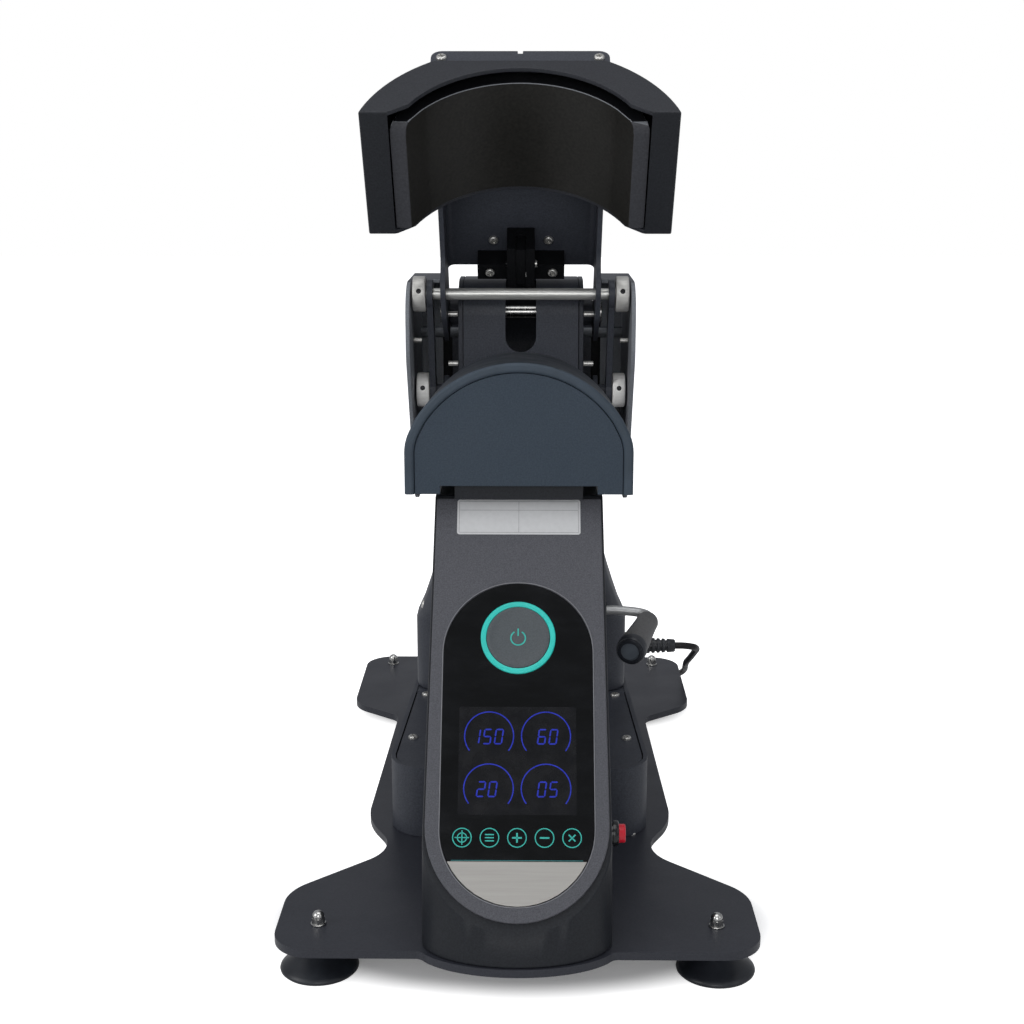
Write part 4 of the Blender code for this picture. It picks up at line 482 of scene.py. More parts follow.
def pick(piece, kind, wanted):
    """Opens the piece for editing with only its wanted points, edges or faces selected."""
    pick_only(piece)
    bpy.ops.object.mode_set(mode="EDIT")
    bpy.ops.mesh.select_mode(type=kind)
    bpy.ops.mesh.select_all(action="DESELECT")
    shape = bmesh.from_edit_mesh(piece.data)
    for one in {"VERT": shape.verts, "EDGE": shape.edges, "FACE": shape.faces}[kind]:
        one.select_set(bool(wanted(one)))
    if kind == "VERT":
        shape.select_flush_mode()
    bmesh.update_edit_mesh(piece.data)


def pick_faces(piece, wanted):
    """Selects the faces whose centre and normal are wanted."""
    pick(piece, "FACE", lambda face: wanted(face.calc_center_median(), face.normal))


def pick_all(piece):
    pick(piece, "FACE", lambda face: True)


def pick_top(piece):
    pick(piece, "FACE", lambda face: face.normal.z > 0.9)


def done():
    bpy.ops.object.mode_set(mode="OBJECT")


def pull(steps):
    """Draws the selected face on through its (rise, size) steps."""
    for rise, size in steps:
        extrude(0.0, 0.0, rise)
        bpy.ops.transform.resize(value=(size, size, 1.0))
    done()


def extrude(across, along, up):
    bpy.ops.mesh.extrude_region_move(TRANSFORM_OT_translate={"value": (across, along, up)})


def body_of(node):
    return frame["nodes"][node]["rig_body"]


def slot_of(node):
    return next(p["material_slot"] for p in frame["record"]["subparts"] if p["node"] == node)


def middle_of(node):
    low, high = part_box(node)
    return (Vector(low) + Vector(high)) / 2


def settle(piece, place=None):
    """Puts the piece's place into its mesh."""
    if place is not None:
        piece.matrix_world = place @ piece.matrix_world
    pick_only(piece)
    bpy.ops.object.transform_apply(location=True, rotation=True, scale=True)
    return piece


def finish_piece(piece, name, finish, body="frame", replaced=(), smooth=35.0):
    """Names a piece, gives it its finish and shading, and ties it to its body."""
    piece.name = name
    piece.data.name = name
    settle(piece)
    bpy.ops.object.shade_smooth_by_angle(angle=math.radians(smooth))
    piece.data.materials.clear()
    piece.data.materials.append(FINISH[finish])
    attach(piece, body)
    if replaced:
        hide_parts(*replaced)
    return piece


def stand_in(piece, node, finish=None, smooth=35.0):
    """Finishes the piece that stands for a CAD node."""
    slot = slot_of(node)
    finish = finish or NODE_FINISH[slot]
    return finish_piece(piece, node + "_form", finish, body_of(node), (node,), smooth)


def apply_modifier(piece, kind, **values):
    pick_only(piece)
    change = piece.modifiers.new(kind.title(), kind)
    for key, value in values.items():
        setattr(change, key, value)
    bpy.ops.object.modifier_apply(modifier=change.name)
    return piece


def round_edges(piece, width, segments=2, angle=30.0):
    return apply_modifier(piece, "BEVEL", width=width, segments=segments, limit_method="ANGLE",
                          angle_limit=math.radians(angle), use_clamp_overlap=True)


def keep_flats_flat(piece):
    """Shades rounded edges so that the flat faces beside them stay flat."""
    return apply_modifier(piece, "WEIGHTED_NORMAL", keep_sharp=True, weight=80)


def carve(piece, tool):
    """Cuts the tool's shape out of the piece and throws the tool away."""
    settle(tool)
    settle(piece)
    apply_modifier(piece, "BOOLEAN", operation="DIFFERENCE", object=tool, solver="EXACT")
    bpy.data.objects.remove(tool)
    return piece


def joined(pieces):
    for piece in pieces:
        settle(piece)
    pick_only(pieces[0])
    for piece in pieces[1:]:
        piece.select_set(True)
    bpy.ops.object.join()
    return pieces[0]


def copied(piece, place=None):
    """A copy with a mesh of its own, put at its place."""
    made = piece.copy()
    made.data = piece.data.copy()
    bpy.context.scene.collection.objects.link(made)
    return settle(made, place)


def new_shape(add, **values):
    """A new primitive, with nothing else selected."""
    bpy.ops.object.select_all(action="DESELECT")
    add(**values)
    return settle(bpy.context.object)


def rod_start(radius, low, high, sides=48):
    middle = (0.0, 0.0, (low + high) / 2)
    return new_shape(bpy.ops.mesh.primitive_cylinder_add, vertices=sides, radius=radius, depth=high - low,
                     location=middle)


def block_start(low, high):
    centre = [(a + b) / 2 for a, b in zip(low, high)]
    size = [b - a for a, b in zip(low, high)]
    return new_shape(bpy.ops.mesh.primitive_cube_add, size=1.0, location=centre, scale=size)


def disc_start(radius, height=0.0, sides=64):
    return new_shape(bpy.ops.mesh.primitive_circle_add, vertices=sides, radius=radius, fill_type="NGON",
                     location=(0.0, 0.0, height))


def sheet_start(wide, long, middle=0.0):
    sheet = new_shape(bpy.ops.mesh.primitive_plane_add, size=1.0, location=(0.0, middle, 0.0))
    pick_all(sheet)
    bpy.ops.transform.resize(value=(wide, long, 1.0), center_override=(0.0, middle, 0.0))
    done()
    return sheet


def turned(steps, sides=64):
    """A turned piece: a disc drawn out along Z through its (height, radius) steps."""
    height, radius = steps[0]
    piece = disc_start(radius, height, sides)
    pick_all(piece)
    for next_height, next_radius in steps[1:]:
        extrude(0.0, 0.0, next_height - height)
        size = next_radius / radius
        bpy.ops.transform.resize(value=(size, size, 1.0), center_override=(0.0, 0.0, next_height))
        height, radius = next_height, next_radius
    bpy.ops.mesh.select_all(action="SELECT")
    bpy.ops.mesh.normals_make_consistent(inside=False)
    done()
    return piece


def worked_copy(node):
    """A copy of a CAD node with its points merged and its flat faces whole, ready to be worked on."""
    source = frame["nodes"][node]
    piece = source.copy()
    piece.data = source.data.copy()
    bpy.context.scene.collection.objects.link(piece)
    piece.parent = None
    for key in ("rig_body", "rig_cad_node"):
        del piece[key]
    pick_all(piece)
    bpy.ops.mesh.customdata_custom_splitnormals_clear()
    bpy.ops.mesh.remove_doubles(threshold=TINY)
    bpy.ops.mesh.dissolve_limited(angle_limit=math.radians(0.5), delimit={"NORMAL"})
    done()
    return piece


def refine(node, edge=SHEET_EDGE, segments=2, finish=None, angle=30.0, smooth=35.0):
    """Stands for a CAD node with the same form, its edges rounded as the real piece's are."""
    piece = worked_copy(node)
    if edge:
        round_edges(piece, edge, segments, angle)
    return keep_flats_flat(stand_in(piece, node, finish, smooth))


def second_finish(piece, finish, wanted):
    """Gives the wanted faces another finish."""
    piece.data.materials.append(FINISH[finish])
    last = len(piece.data.materials) - 1
    for face in piece.data.polygons:
        if wanted(face.center, face.normal):
            face.material_index = last


# Places that pieces are put at: the console's leaning face and the opened head

ON_FACE = Matrix.Translation(FACE_FOOT) @ Matrix.Rotation(math.radians(90.0 - LEAN), 4, "X")
OPENED = (Matrix.Translation(PIVOT) @ Matrix.Rotation(math.radians(-OPEN_TURN), 4, "X")
          @ Matrix.Translation(-Vector(PIVOT)))


def facing(place, direction):
    """Stands a piece's Z axis along the direction, at the place."""
    turn = Vector(UP).rotation_difference(Vector(direction)).to_matrix().to_4x4()
    return Matrix.Translation(place) @ turn


def raised(height):
    return Matrix.Translation((0.0, 0.0, height))


# Screws, nuts and feet


def pan_head_screw():
    """A cross-recessed pan head, standing on Z zero."""
    head = rod_start(SCREW_RADIUS, -SCREW_HIGH / 4, SCREW_HIGH, 40)
    pick_top(head)
    bpy.ops.mesh.bevel(offset=SCREW_HIGH * 0.62, segments=6, affect="EDGES", profile=0.5)
    done()
    for turn in (0.0, 90.0):
        slot = block_start((-RECESS_REACH, -RECESS_HALF, RECESS_FLOOR),
                           (RECESS_REACH, RECESS_HALF, SCREW_HIGH * 2))
        slot.rotation_euler.z = math.radians(turn + RECESS_TURN)
        carve(head, slot)
    return head


def grub_screw():
    """A set screw's end with its hexagonal socket, below Z zero."""
    screw = rod_start(GRUB_RADIUS, -0.0030, -0.0004, 32)
    pick_top(screw)
    bpy.ops.mesh.bevel(offset=0.0002, segments=2, affect="EDGES")
    done()
    return carve(screw, rod_start(GRUB_RADIUS * 0.55, -0.0018, 0.001, 6))


NUT_WASHER = ((0.0, 0.0045), (0.0002, 0.0048), (0.0008, 0.0048), (0.0010, 0.0045))
NUT_HEXAGON = (0.0043, 0.0009, 0.0044)
NUT_CORNERS = (0.0042, 0.0, 0.0060)
NUT_DOME = (
    (0.0040, 0.0037), (0.0056, 0.0037), (0.0068, 0.0034), (0.0078, 0.0027), (0.0084, 0.0018),
    (0.0087, 0.0009), (0.0088, 0.0003),
)


def dome_nut():
    """Washer, hexagon and dome, standing on Z zero."""
    washer = turned(NUT_WASHER)
    hexagon = rod_start(*NUT_HEXAGON, 6)
    corners = rod_start(*NUT_CORNERS, 64)
    round_edges(corners, 0.0009, 3)
    settle(hexagon)
    apply_modifier(hexagon, "BOOLEAN", operation="INTERSECT", object=corners, solver="EXACT")
    bpy.data.objects.remove(corners)
    return joined([washer, hexagon, turned(NUT_DOME, 48)])


# Small screws: name, body, the way they face, and their places
SCREWS = (
    ("cover_screw", "frame", UP,
     [(x, y, 0.0794) for x, y in ((-0.0759, -0.049), (0.0759, -0.049), (-0.0723, 0.042), (0.0723, 0.042))]),
    ("tower_screw", "frame", (-0.97, 0.0, 0.22), ((-0.0742, 0.060, 0.1465),)),
    ("head_cover_screw", "head", FRONT, ((-0.0500, -0.1625, 0.3795), (0.0500, -0.1625, 0.3795))),
    ("stop_screw", "head", DOWN, ((-0.0218, 0.0000, 0.3662), (0.0222, 0.0000, 0.3662))),
    ("web_screw", "head", DOWN, ((-0.0193, -0.0160, 0.3822), (0.0193, -0.0160, 0.3822))),
    ("plate_screw", "frame", UP, ((0.0775, -0.1005, 0.0300),)),
)
PLATE_SCREW_SIZE = 0.72
REAR_SCREWS = ((-0.048, 0.256), (0.048, 0.256), (-0.048, 0.361), (0.048, 0.361))
GUARD_SCREWS = ((0.090, 0.250), (0.090, 0.372), (0.022, 0.352))


def put_screws():
    """The small screws that the CAD model leaves out."""
    master = pan_head_screw()
    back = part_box("rear_cover")[1][1]
    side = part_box("right_guard")[1][0]
    rows = list(SCREWS)
    rows.append(("rear_screw", "frame", BACK, [(x, back, z) for x, z in REAR_SCREWS]))
    rows.append(("left_guard_screw", "frame", LEFT, [(-side, y, z) for y, z in GUARD_SCREWS]))
    rows.append(("right_guard_screw", "frame", RIGHT, [(side, y, z) for y, z in GUARD_SCREWS]))
    for name, body, way, places in rows:
        turn = OPENED if body == "head" else Matrix()
        size = Matrix.Scale(PLATE_SCREW_SIZE if name == "plate_screw" else 1.0, 4)
        for i, place in enumerate(places):
            screw = copied(master, turn @ facing(place, way) @ size)
            numbered = f"{name}_{i + 1}" if len(places) > 1 else name
            finish_piece(screw, numbered, "screw", body)
    bpy.data.objects.remove(master)


FOOT_CUP = (
    (0.0, 0.0196), (0.0004, 0.0212), (0.0012, 0.0228), (0.0022, 0.0238), (0.0030, 0.0240), (0.0038, 0.0237),
    (0.0052, 0.0222), (0.0074, 0.0192), (0.0100, 0.0158), (0.0130, 0.0124), (0.0150, 0.0106),
    (0.0160, 0.0098),
)
FOOT_LIP = 0.0016
FOOT_NECK = (0.0092, 0.0086)
FOOT_HOLLOW = ((0.0024, 0.86), (0.0028, 0.74), (0.0022, 0.55), (0.0012, 0.30))


def make_feet():
    """Suction feet: a cup with a thin lip, hollow below, under a short neck."""
    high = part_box("foot_front_left")[1][2]
    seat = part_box("base_plate")[1][2]
    foot = turned(FOOT_CUP + ((high - 0.0006, FOOT_NECK[0]), (high, FOOT_NECK[1])), 72)
    pick_faces(foot, lambda centre, normal: normal.z < -0.9 and centre.z < 0.0002)
    bpy.ops.mesh.inset(thickness=FOOT_LIP)
    pull(FOOT_HOLLOW)
    nut = dome_nut()
    for corner in ("front_left", "front_right", "rear_left", "rear_right"):
        x, y, _ = middle_of("foot_" + corner)
        stand_in(copied(foot, Matrix.Translation((x, y, 0.0))), "foot_" + corner, smooth=50.0)
        stand_in(copied(nut, Matrix.Translation((x, y, seat))), "foot_nut_" + corner)
    bpy.data.objects.remove(foot)
    bpy.data.objects.remove(nut)


# Console panel


def flat_ring(x, y, outer, width, sides=96, keep=None):
    """A printed ring in the face's plane, or the part of it whose angles in degrees lie within keep."""
    ring = disc_start(outer, 0.0, sides)
    pick_all(ring)
    bpy.ops.mesh.inset(thickness=width)
    bpy.ops.mesh.delete(type="FACE")
    done()
    if keep:
        def outside(centre, normal):
            angle = math.degrees(math.atan2(centre.y, centre.x))
            return not any(keep[0] <= angle + whole <= keep[1] for whole in (0.0, 360.0))
        pick_faces(ring, outside)
        bpy.ops.mesh.delete(type="FACE")
        done()
    return settle(ring, Matrix.Translation((x, y, 0.0)))


def flat_bar(x, y, length, width, turn=0.0, tip=0.0):
    """A printed bar about its middle, its ends pointed by tip."""
    bar = sheet_start(length - 2 * tip, width)
    if tip:
        inner = length / 2 - tip * 1.5
        for side in (-1, 1):
            pick(bar, "EDGE", lambda edge: all(v.co.x * side > inner for v in edge.verts))
            extrude(side * tip, 0.0, 0.0)
            bpy.ops.transform.resize(value=(1.0, 0.1, 1.0))
            done()
    return settle(bar, Matrix.Translation((x, y, 0.0)) @ Matrix.Rotation(math.radians(turn), 4, "Z"))


def printed(pieces, name, finish, high, body="frame"):
    """Joins flat prints, gives them a film's thickness and lays them on the console's face."""
    made = joined(pieces)
    apply_modifier(made, "SOLIDIFY", thickness=INK, offset=0.0)
    settle(made, ON_FACE @ raised(high))
    pick_all(made)
    bpy.ops.mesh.normals_make_consistent(inside=False)
    done()
    return finish_piece(made, name, finish, body)


# Bars of a seven-part figure: place across and up in shares of its size, and whether the bar stands
FIGURE_BARS = {
    "top": (0.0, 1.0, False), "high_left": (-1.0, 0.5, True), "high_right": (1.0, 0.5, True),
    "middle": (0.0, 0.0, False), "low_left": (-1.0, -0.5, True), "low_right": (1.0, -0.5, True),
    "bottom": (0.0, -1.0, False),
}
FIGURES = {
    "0": ("top", "high_left", "high_right", "low_left", "low_right", "bottom"),
    "1": ("high_right", "low_right"),
    "2": ("top", "high_right", "middle", "low_left", "bottom"),
    "5": ("top", "high_left", "middle", "low_right", "bottom"),
    "6": ("top", "high_left", "middle", "low_left", "low_right", "bottom"),
}


def figure(text, x, y):
    """A number in slanted seven-part figures, centred on x."""
    bars = []
    for i, digit in enumerate(text):
        across = x + (i - (len(text) - 1) / 2) * FIGURE_STEP
        for part in FIGURES[digit]:
            side, up, stands = FIGURE_BARS[part]
            rise = up * FIGURE_HIGH / 2
            place = (across + side * FIGURE_WIDE / 2 + rise * FIGURE_SLANT, y + rise)
            length = (FIGURE_HIGH / 2 if stands else FIGURE_WIDE) * 0.94
            turn = 90.0 - math.degrees(FIGURE_SLANT) if stands else 0.0
            bars.append(flat_bar(*place, length, FIGURE_LINE, turn, FIGURE_LINE / 2))
    return bars


def make_gauges():
    """The display's window, its four gauges and their numbers."""
    low, high = DISPLAY_SPAN
    window = rounded_sheet(DISPLAY_HALF, low, high, 0.0012, 0.00004)
    settle(window, ON_FACE @ raised(PANEL_PROUD + 0.00004))
    finish_piece(window, "display_window", "screen")
    lines = []
    for text, x, y in (("150", -1, 1), ("60", 1, 1), ("20", -1, -1), ("05", 1, -1)):
        across, up = x * GAUGE_SPREAD, GAUGE_MIDDLE + y * GAUGE_RISE
        lines.append(flat_ring(across, up, GAUGE_RADIUS, 0.0007, 144, GAUGE_SWEEP))
        lines += figure(text, across + x * 0.0010, up - 0.0004)
    printed(lines, "gauge_lines", "blue", PANEL_PROUD + 0.00008)


def key_marks(kind, x):
    """The mark inside one key's ring."""
    if kind == "target":
        cross = [flat_bar(x, KEY_LINE, 0.0084, 0.0006, turn) for turn in (0.0, 90.0)]
        return [flat_ring(x, KEY_LINE, 0.0030, 0.0006, 48)] + cross
    if kind == "list":
        return [flat_bar(x, KEY_LINE + step * 0.0018, 0.0052, 0.0007) for step in (-1, 0, 1)]
    if kind == "cross":
        return [flat_bar(x, KEY_LINE, 0.0054, 0.0008, turn) for turn in (45.0, -45.0)]
    turns = (0.0, 90.0) if kind == "plus" else (0.0,)
    return [flat_bar(x, KEY_LINE, 0.0056, 0.0010, turn) for turn in turns]


def make_keys():
    prints = []
    for i, kind in enumerate(("target", "list", "plus", "minus", "cross")):
        x = (i - 2) * KEY_STEP
        prints.append(flat_ring(x, KEY_LINE, KEY_RADIUS, 0.0006, 72))
        prints += key_marks(kind, x)
    printed(prints, "key_prints", "key_teal", PANEL_PROUD + 0.00006)
    seam = [flat_bar(0.0, SILVER_TOP + 0.0004, 0.0765, 0.0004)]
    printed(seam, "panel_seam", "key_teal_dim", PANEL_PROUD + 0.00004)


BUTTON_DISH = ((0.0, 0.90), (-0.00025, 0.97), (-0.0002, 0.75), (-0.0001, 0.4))


def make_start_button():
    """Lit ring, dished button and its printed power sign."""
    low, high = START_RING
    place = ON_FACE @ Matrix.Translation((0.0, START_LENGTH, 0.0))
    ring = turned([(-0.003, high), (PANEL_PROUD + 0.0002, high), (PANEL_PROUD + 0.0006, high - 0.0005)], 96)
    carve(ring, rod_start(low, -0.01, 0.01, 96))
    round_edges(ring, 0.0001, 2)
    stand_in(settle(ring, place), "start_ring")
    face = low - 0.0003
    button = turned([(-0.0036, face), (0.0007, face), (0.0010, face - 0.00012), (0.0012, face - 0.0005)], 96)
    pick_top(button)
    pull(BUTTON_DISH)
    stand_in(settle(button, place), "start_button")
    sign = [flat_ring(0.0, START_LENGTH - 0.0005, 0.0048, 0.0008, 96, SIGN_SWEEP),
            flat_bar(0.0, START_LENGTH + 0.0032, 0.0046, 0.0008, 90.0)]
    printed(sign, "start_sign", "key_teal", 0.00078, "start_button")


def rounded_sheet(half, low, high, corner, thick):
    """A thin sheet with round corners, flat in the face's plane."""
    sheet = sheet_start(2 * half, high - low, (low + high) / 2)
    apply_modifier(sheet, "BEVEL", width=corner, segments=6, affect="VERTICES", limit_method="NONE")
    return apply_modifier(sheet, "SOLIDIFY", thickness=thick, offset=-1.0)


def make_label():
    """A plain white plate under the bed, with thin printed lines."""
    low, high = LABEL_SPAN
    plate = rounded_sheet(LABEL_HALF, low, high, 0.0016, 0.0002)
    settle(plate, ON_FACE @ raised(0.00018))
    finish_piece(plate, "label_plate", "label")
    up = (low + high) / 2
    wide = 2 * (LABEL_HALF - LABEL_EDGE)
    tall = high - low - 2 * LABEL_EDGE
    lines = [flat_bar(0.0, up + tall * share, wide, LABEL_LINE) for share in (-0.5, 0.5, 0.22)]
    lines += [flat_bar(side * wide / 2, up, tall, LABEL_LINE, 90.0) for side in (-1, 0, 1)]
    printed(lines, "label_lines", "label_grey", 0.00022)


def make_panel_rim():
    """The bead of light on the fascia's edge round the glass."""
    low = PANEL_SPAN[0] - PANEL_GAP
    high = PANEL_SPAN[1] + PANEL_GAP
    half = PANEL_HALF + PANEL_GAP
    outline = rounded([(-half, low, half), (half, low, half), (half, high, half), (-half, high, half)], 40)
    rim = as_mesh(drawn_line("panel_rim", [(*p, 0.0) for p in outline], 0.00032, 2, True))
    settle(rim, ON_FACE @ raised(INK))
    finish_piece(rim, "panel_rim", "rim")


def make_console():
    refine("console_shell", 0.0)
    refine("console_fascia", 0.0005, 3, angle=FOLD_ANGLE)
    refine("panel_glass", 0.00012, angle=SHARP_ANGLE)
    refine("silver_trim", 0.00012, angle=SHARP_ANGLE)
    make_panel_rim()
    make_gauges()
    make_keys()
    make_start_button()
    make_label()
    make_side_button()


BEZEL_SHAPE = (
    (-0.0014, 0.0064), (0.0, 0.0064), (0.0001, 0.0078), (0.0022, 0.0078), (0.0031, 0.0074), (0.0035, 0.0068),
)
RED_CAP_SHAPE = (
    (-0.003, 0.0056), (0.0066, 0.0056), (0.0073, 0.0053), (0.0075, 0.0048), (0.0075, 0.0038),
    (0.0073, 0.0030), (0.0072, 0.0012),
)


def make_side_button():
    """The push button on the console's right side: a ringed bezel and a domed cap."""
    centre = middle_of("side_button_bezel")
    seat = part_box("side_button_bezel")[1][0] - 0.0035
    place = facing((seat, centre.y, centre.z), RIGHT)
    bezel = turned(BEZEL_SHAPE)
    carve(bezel, rod_start(0.0059, -0.0060, 0.01, 64))
    stand_in(settle(bezel, place), "side_button_bezel", "bezel")
    stand_in(settle(turned(RED_CAP_SHAPE), place), "side_button_cap")


# Housings, neck and drive


def rounded(corners, steps=10):
    """An outline through (across, along, rounding) corners."""
    points = []
    for i, (a, b, radius) in enumerate(corners):
        here = Vector((a, b))
        before = Vector(corners[i - 1][:2]) - here
        after = Vector(corners[(i + 1) % len(corners)][:2]) - here
        turn = before.angle(after)
        if radius <= 0.0 or turn > math.pi - 0.02:
            points.append(here)
            continue
        reach = min(radius / math.tan(turn / 2), before.length * 0.49, after.length * 0.49)
        radius = reach * math.tan(turn / 2)
        inward = (before.normalized() + after.normalized()).normalized()
        middle = here + inward * (radius / math.sin(turn / 2))
        first = here + before.normalized() * reach - middle
        swing = first.angle_signed(here + after.normalized() * reach - middle)
        points += [middle + Matrix.Rotation(-swing * j / steps, 2) @ first for j in range(steps + 1)]
    return points


def make_base_plate():
    """The laser-cut plate with its waist and its round corners."""
    low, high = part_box("base_plate")
    across, deep, nose_y = NOSE_ARC
    front = PLATE_CORNERS[0][1]
    last = math.asin((nose_y - front) / deep)
    arc = []
    for i in range(25):
        angle = math.pi / 2 + (last - math.pi / 2) * i / 24
        arc.append((across * math.cos(angle), nose_y - deep * math.sin(angle), 0.0))
    half = arc[:-3] + [(*arc[-1][:2], NOSE_FILLET)] + list(PLATE_CORNERS)
    outline = rounded(half + [(-a, b, r) for a, b, r in reversed(half[1:])])
    line = drawn_line("base_plate_form", [(*p, 0.0) for p in outline], closed=True)
    line.data.dimensions = "2D"
    line.data.fill_mode = "BOTH"
    line.data.extrude = (high[2] - low[2]) / 2
    plate = settle(as_mesh(line), raised((low[2] + high[2]) / 2))
    pick_all(plate)
    bpy.ops.mesh.remove_doubles(threshold=TINY)
    bpy.ops.mesh.dissolve_limited(angle_limit=math.radians(0.5))
    bpy.ops.mesh.normals_make_consistent(inside=False)
    done()
    round_edges(plate, 0.0008, 3, SHARP_ANGLE)
    keep_flats_flat(stand_in(plate, "base_plate", "plate", 40.0))


def make_tower():
    """The tower shell, with the vent slots in its back and the plate that it stands on."""
    tower = worked_copy("tower_shell")
    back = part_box("tower_shell")[1][1]
    slots = []
    for i in range(VENT_COUNT):
        high = VENT_LOW + i * VENT_STEP
        slot = block_start((-VENT_HALF, back - 0.008, high - VENT_RISE),
                           (VENT_HALF, back + 0.004, high + VENT_RISE))
        slots.append(round_edges(slot, 0.0011, 3))
    carve(tower, joined(slots))
    round_edges(tower, 0.0005, 2, SHARP_ANGLE)
    keep_flats_flat(stand_in(tower, "tower_shell", smooth=45.0))
    seat = block_start(SEAT_LOW, SEAT_HIGH)
    pick_faces(seat, lambda centre, normal: normal.y > 0.9)
    bpy.ops.transform.resize(value=(SEAT_TAPER, 1.0, 1.0), center_override=(0.0, 0.0, 0.0))
    done()
    round_edges(seat, 0.0003, 2)
    finish_piece(seat, "tower_seat", "charcoal")


def make_neck_studs():
    """The short bright studs beside the cheeks and inside the guards."""
    rim = STUD_RADIUS - 0.0002
    for hand, side in (("left", -1.0), ("right", 1.0)):
        for i, (near, long, y, z) in enumerate(NECK_STUDS):
            stud = turned([(0.0, rim), (0.0002, STUD_RADIUS), (long - 0.0002, STUD_RADIUS), (long, rim)], 32)
            settle(stud, facing((side * near, y, z), (side, 0.0, 0.0)))
            finish_piece(stud, f"{hand}_neck_stud_{i + 1}", "screw")


def make_seams():
    """Deep black strips that close the seam between the rear cover and each guard from inside: painted shade
    in the seam.
    """
    low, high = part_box("rear_cover")
    for side, name in ((-1, "left_seam_shade_strip"), (1, "right_seam_shade_strip")):
        middle = side * high[0]
        strip = block_start((middle - SEAM_HALF, low[1] - 0.0010, low[2] + 0.002),
                            (middle + SEAM_HALF, low[1] - 0.0002, high[2] - 0.002))
        round_edges(strip, 0.0002, 2)
        finish_piece(strip, name, "deep_black")


def make_guard(node):
    """A guard plate, paler on the rim that the user sees and on its inner face: a painted highlight on the
    rim and painted light inside.
    """
    guard = refine(node, 0.0010, 3, finish="guard", angle=SHARP_ANGLE)
    # Painted light on the inner face, then a painted highlight on the front rim
    second_finish(guard, "guard_inside_painted_light",
                  lambda centre, normal: normal.x * centre.x < 0.0 and abs(normal.x) > 0.9)
    second_finish(guard, "guard_edge_painted_highlight", lambda centre, normal: normal.y < -0.3)


def make_body():
    make_base_plate()
    make_seams()
    make_neck_studs()
    refine("mid_housing", 0.0006, finish="charcoal")
    refine("mid_cover", finish="charcoal")
    make_tower()
    refine("left_cheek")
    refine("right_cheek")
    refine("cowl", angle=FOLD_ANGLE)
    make_guard("left_guard")
    make_guard("right_guard")
    for node in ("rear_cover", "pivot_shaft", "crank_shaft"):
        refine(node)
    for side in ("left", "right"):
        refine(side + "_crank_arm")
        refine(side + "_link")
    refine("lever_bracket", 0.0008, 3)
    # Black on the bed mount: painted shade in the gap between the bed and the fascia
    refine("bed_mount", 0.0005, finish="black")
    refine("bed_core", 0.0005, angle=FOLD_ANGLE)
    refine("bed_face", angle=FOLD_ANGLE)


def make_collars():
    """Shaft collars with a set screw that looks towards the user."""
    towards = Vector(COLLAR_SCREW_WAY).normalized()
    half = COLLAR_WIDE / 2
    edge = [(half - inward, COLLAR_RADIUS - smaller) for inward, smaller in COLLAR_EDGE]
    collar = turned([(-height, radius) for height, radius in reversed(edge)] + edge, 96)
    carve(collar, rod_start(COLLAR_BORE, -half * 2, half * 2, 48))
    screw = grub_screw()
    for node in ("upper_left_collar", "upper_right_collar", "lower_left_collar", "lower_right_collar"):
        centre = middle_of(node)
        rim = centre + towards * COLLAR_RADIUS
        made = copied(collar, facing(centre, RIGHT))
        hole = rod_start(GRUB_RADIUS + 0.0001, -0.0034, 0.002, 32)
        hole.matrix_world = facing(rim, towards)
        carve(made, hole)
        # The lower collars get the paler copy: painted light in the guards' shade
        finish = "collar_low_painted_light" if node.startswith("lower") else "collar"
        stand_in(made, node, finish, 30.0)
        made = copied(screw, facing(rim, towards))
        finish_piece(made, node + "_screw", "screw_dark", body_of(node))
    bpy.data.objects.remove(collar)
    bpy.data.objects.remove(screw)


# Bed


def make_bed_cover():
    """The soft cover of the bed: narrower behind, its rim rounded, its ends cut off square below."""
    cover = worked_copy("bed_pad")
    low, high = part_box("bed_pad")
    pick_faces(cover, lambda centre, normal: normal.y > 0.9 and centre.y > high[1] - 0.001)
    bpy.ops.transform.resize(value=(BED_TAPER, 1.0, BED_TAPER), center_override=(0.0, high[1], low[2]))
    done()

    def sharp_and_raised(edge):
        sharp = len(edge.link_faces) == 2 and edge.calc_face_angle() > math.radians(FOLD_ANGLE)
        return sharp and max(v.co.z for v in edge.verts) > low[2] + 0.0002
    pick(cover, "EDGE", sharp_and_raised)
    bpy.ops.mesh.bevel(offset=0.0022, segments=5, affect="EDGES", profile=0.5, clamp_overlap=True)
    done()
    stand_in(cover, "bed_pad", smooth=40.0)
    behind = low[1] + 0.0040
    second_finish(cover, "pad_top", lambda centre, normal: centre.y > behind or normal.y > 0.5)
    keep_flats_flat(cover)


# Head and arm

# The stop bracket, with the head closed: what is cut from its block, its pin and the eye in its fork
BRACKET_CUTS = (
    ((-0.04, -0.03, 0.35), (-0.0098, -0.0068, 0.39)), ((0.0098, -0.03, 0.35), (0.04, -0.0068, 0.39)),
    ((-0.02, -0.06, 0.35), (0.02, -0.0270, 0.39)),
)
FORK_PIN = (
    (-0.0106, 0.0018), (-0.0104, 0.0020), (0.0098, 0.0020), (0.0099, 0.0027), (0.0110, 0.0027),
    (0.0114, 0.0022),
)
FORK_PIN_PLACE = (0.0, -0.0105, 0.3625)
FORK_PIN_HEAD = 0.0098
FORK_EYE = ((-0.0035, -0.0255, 0.3585), (0.0035, 0.0050, 0.3735))


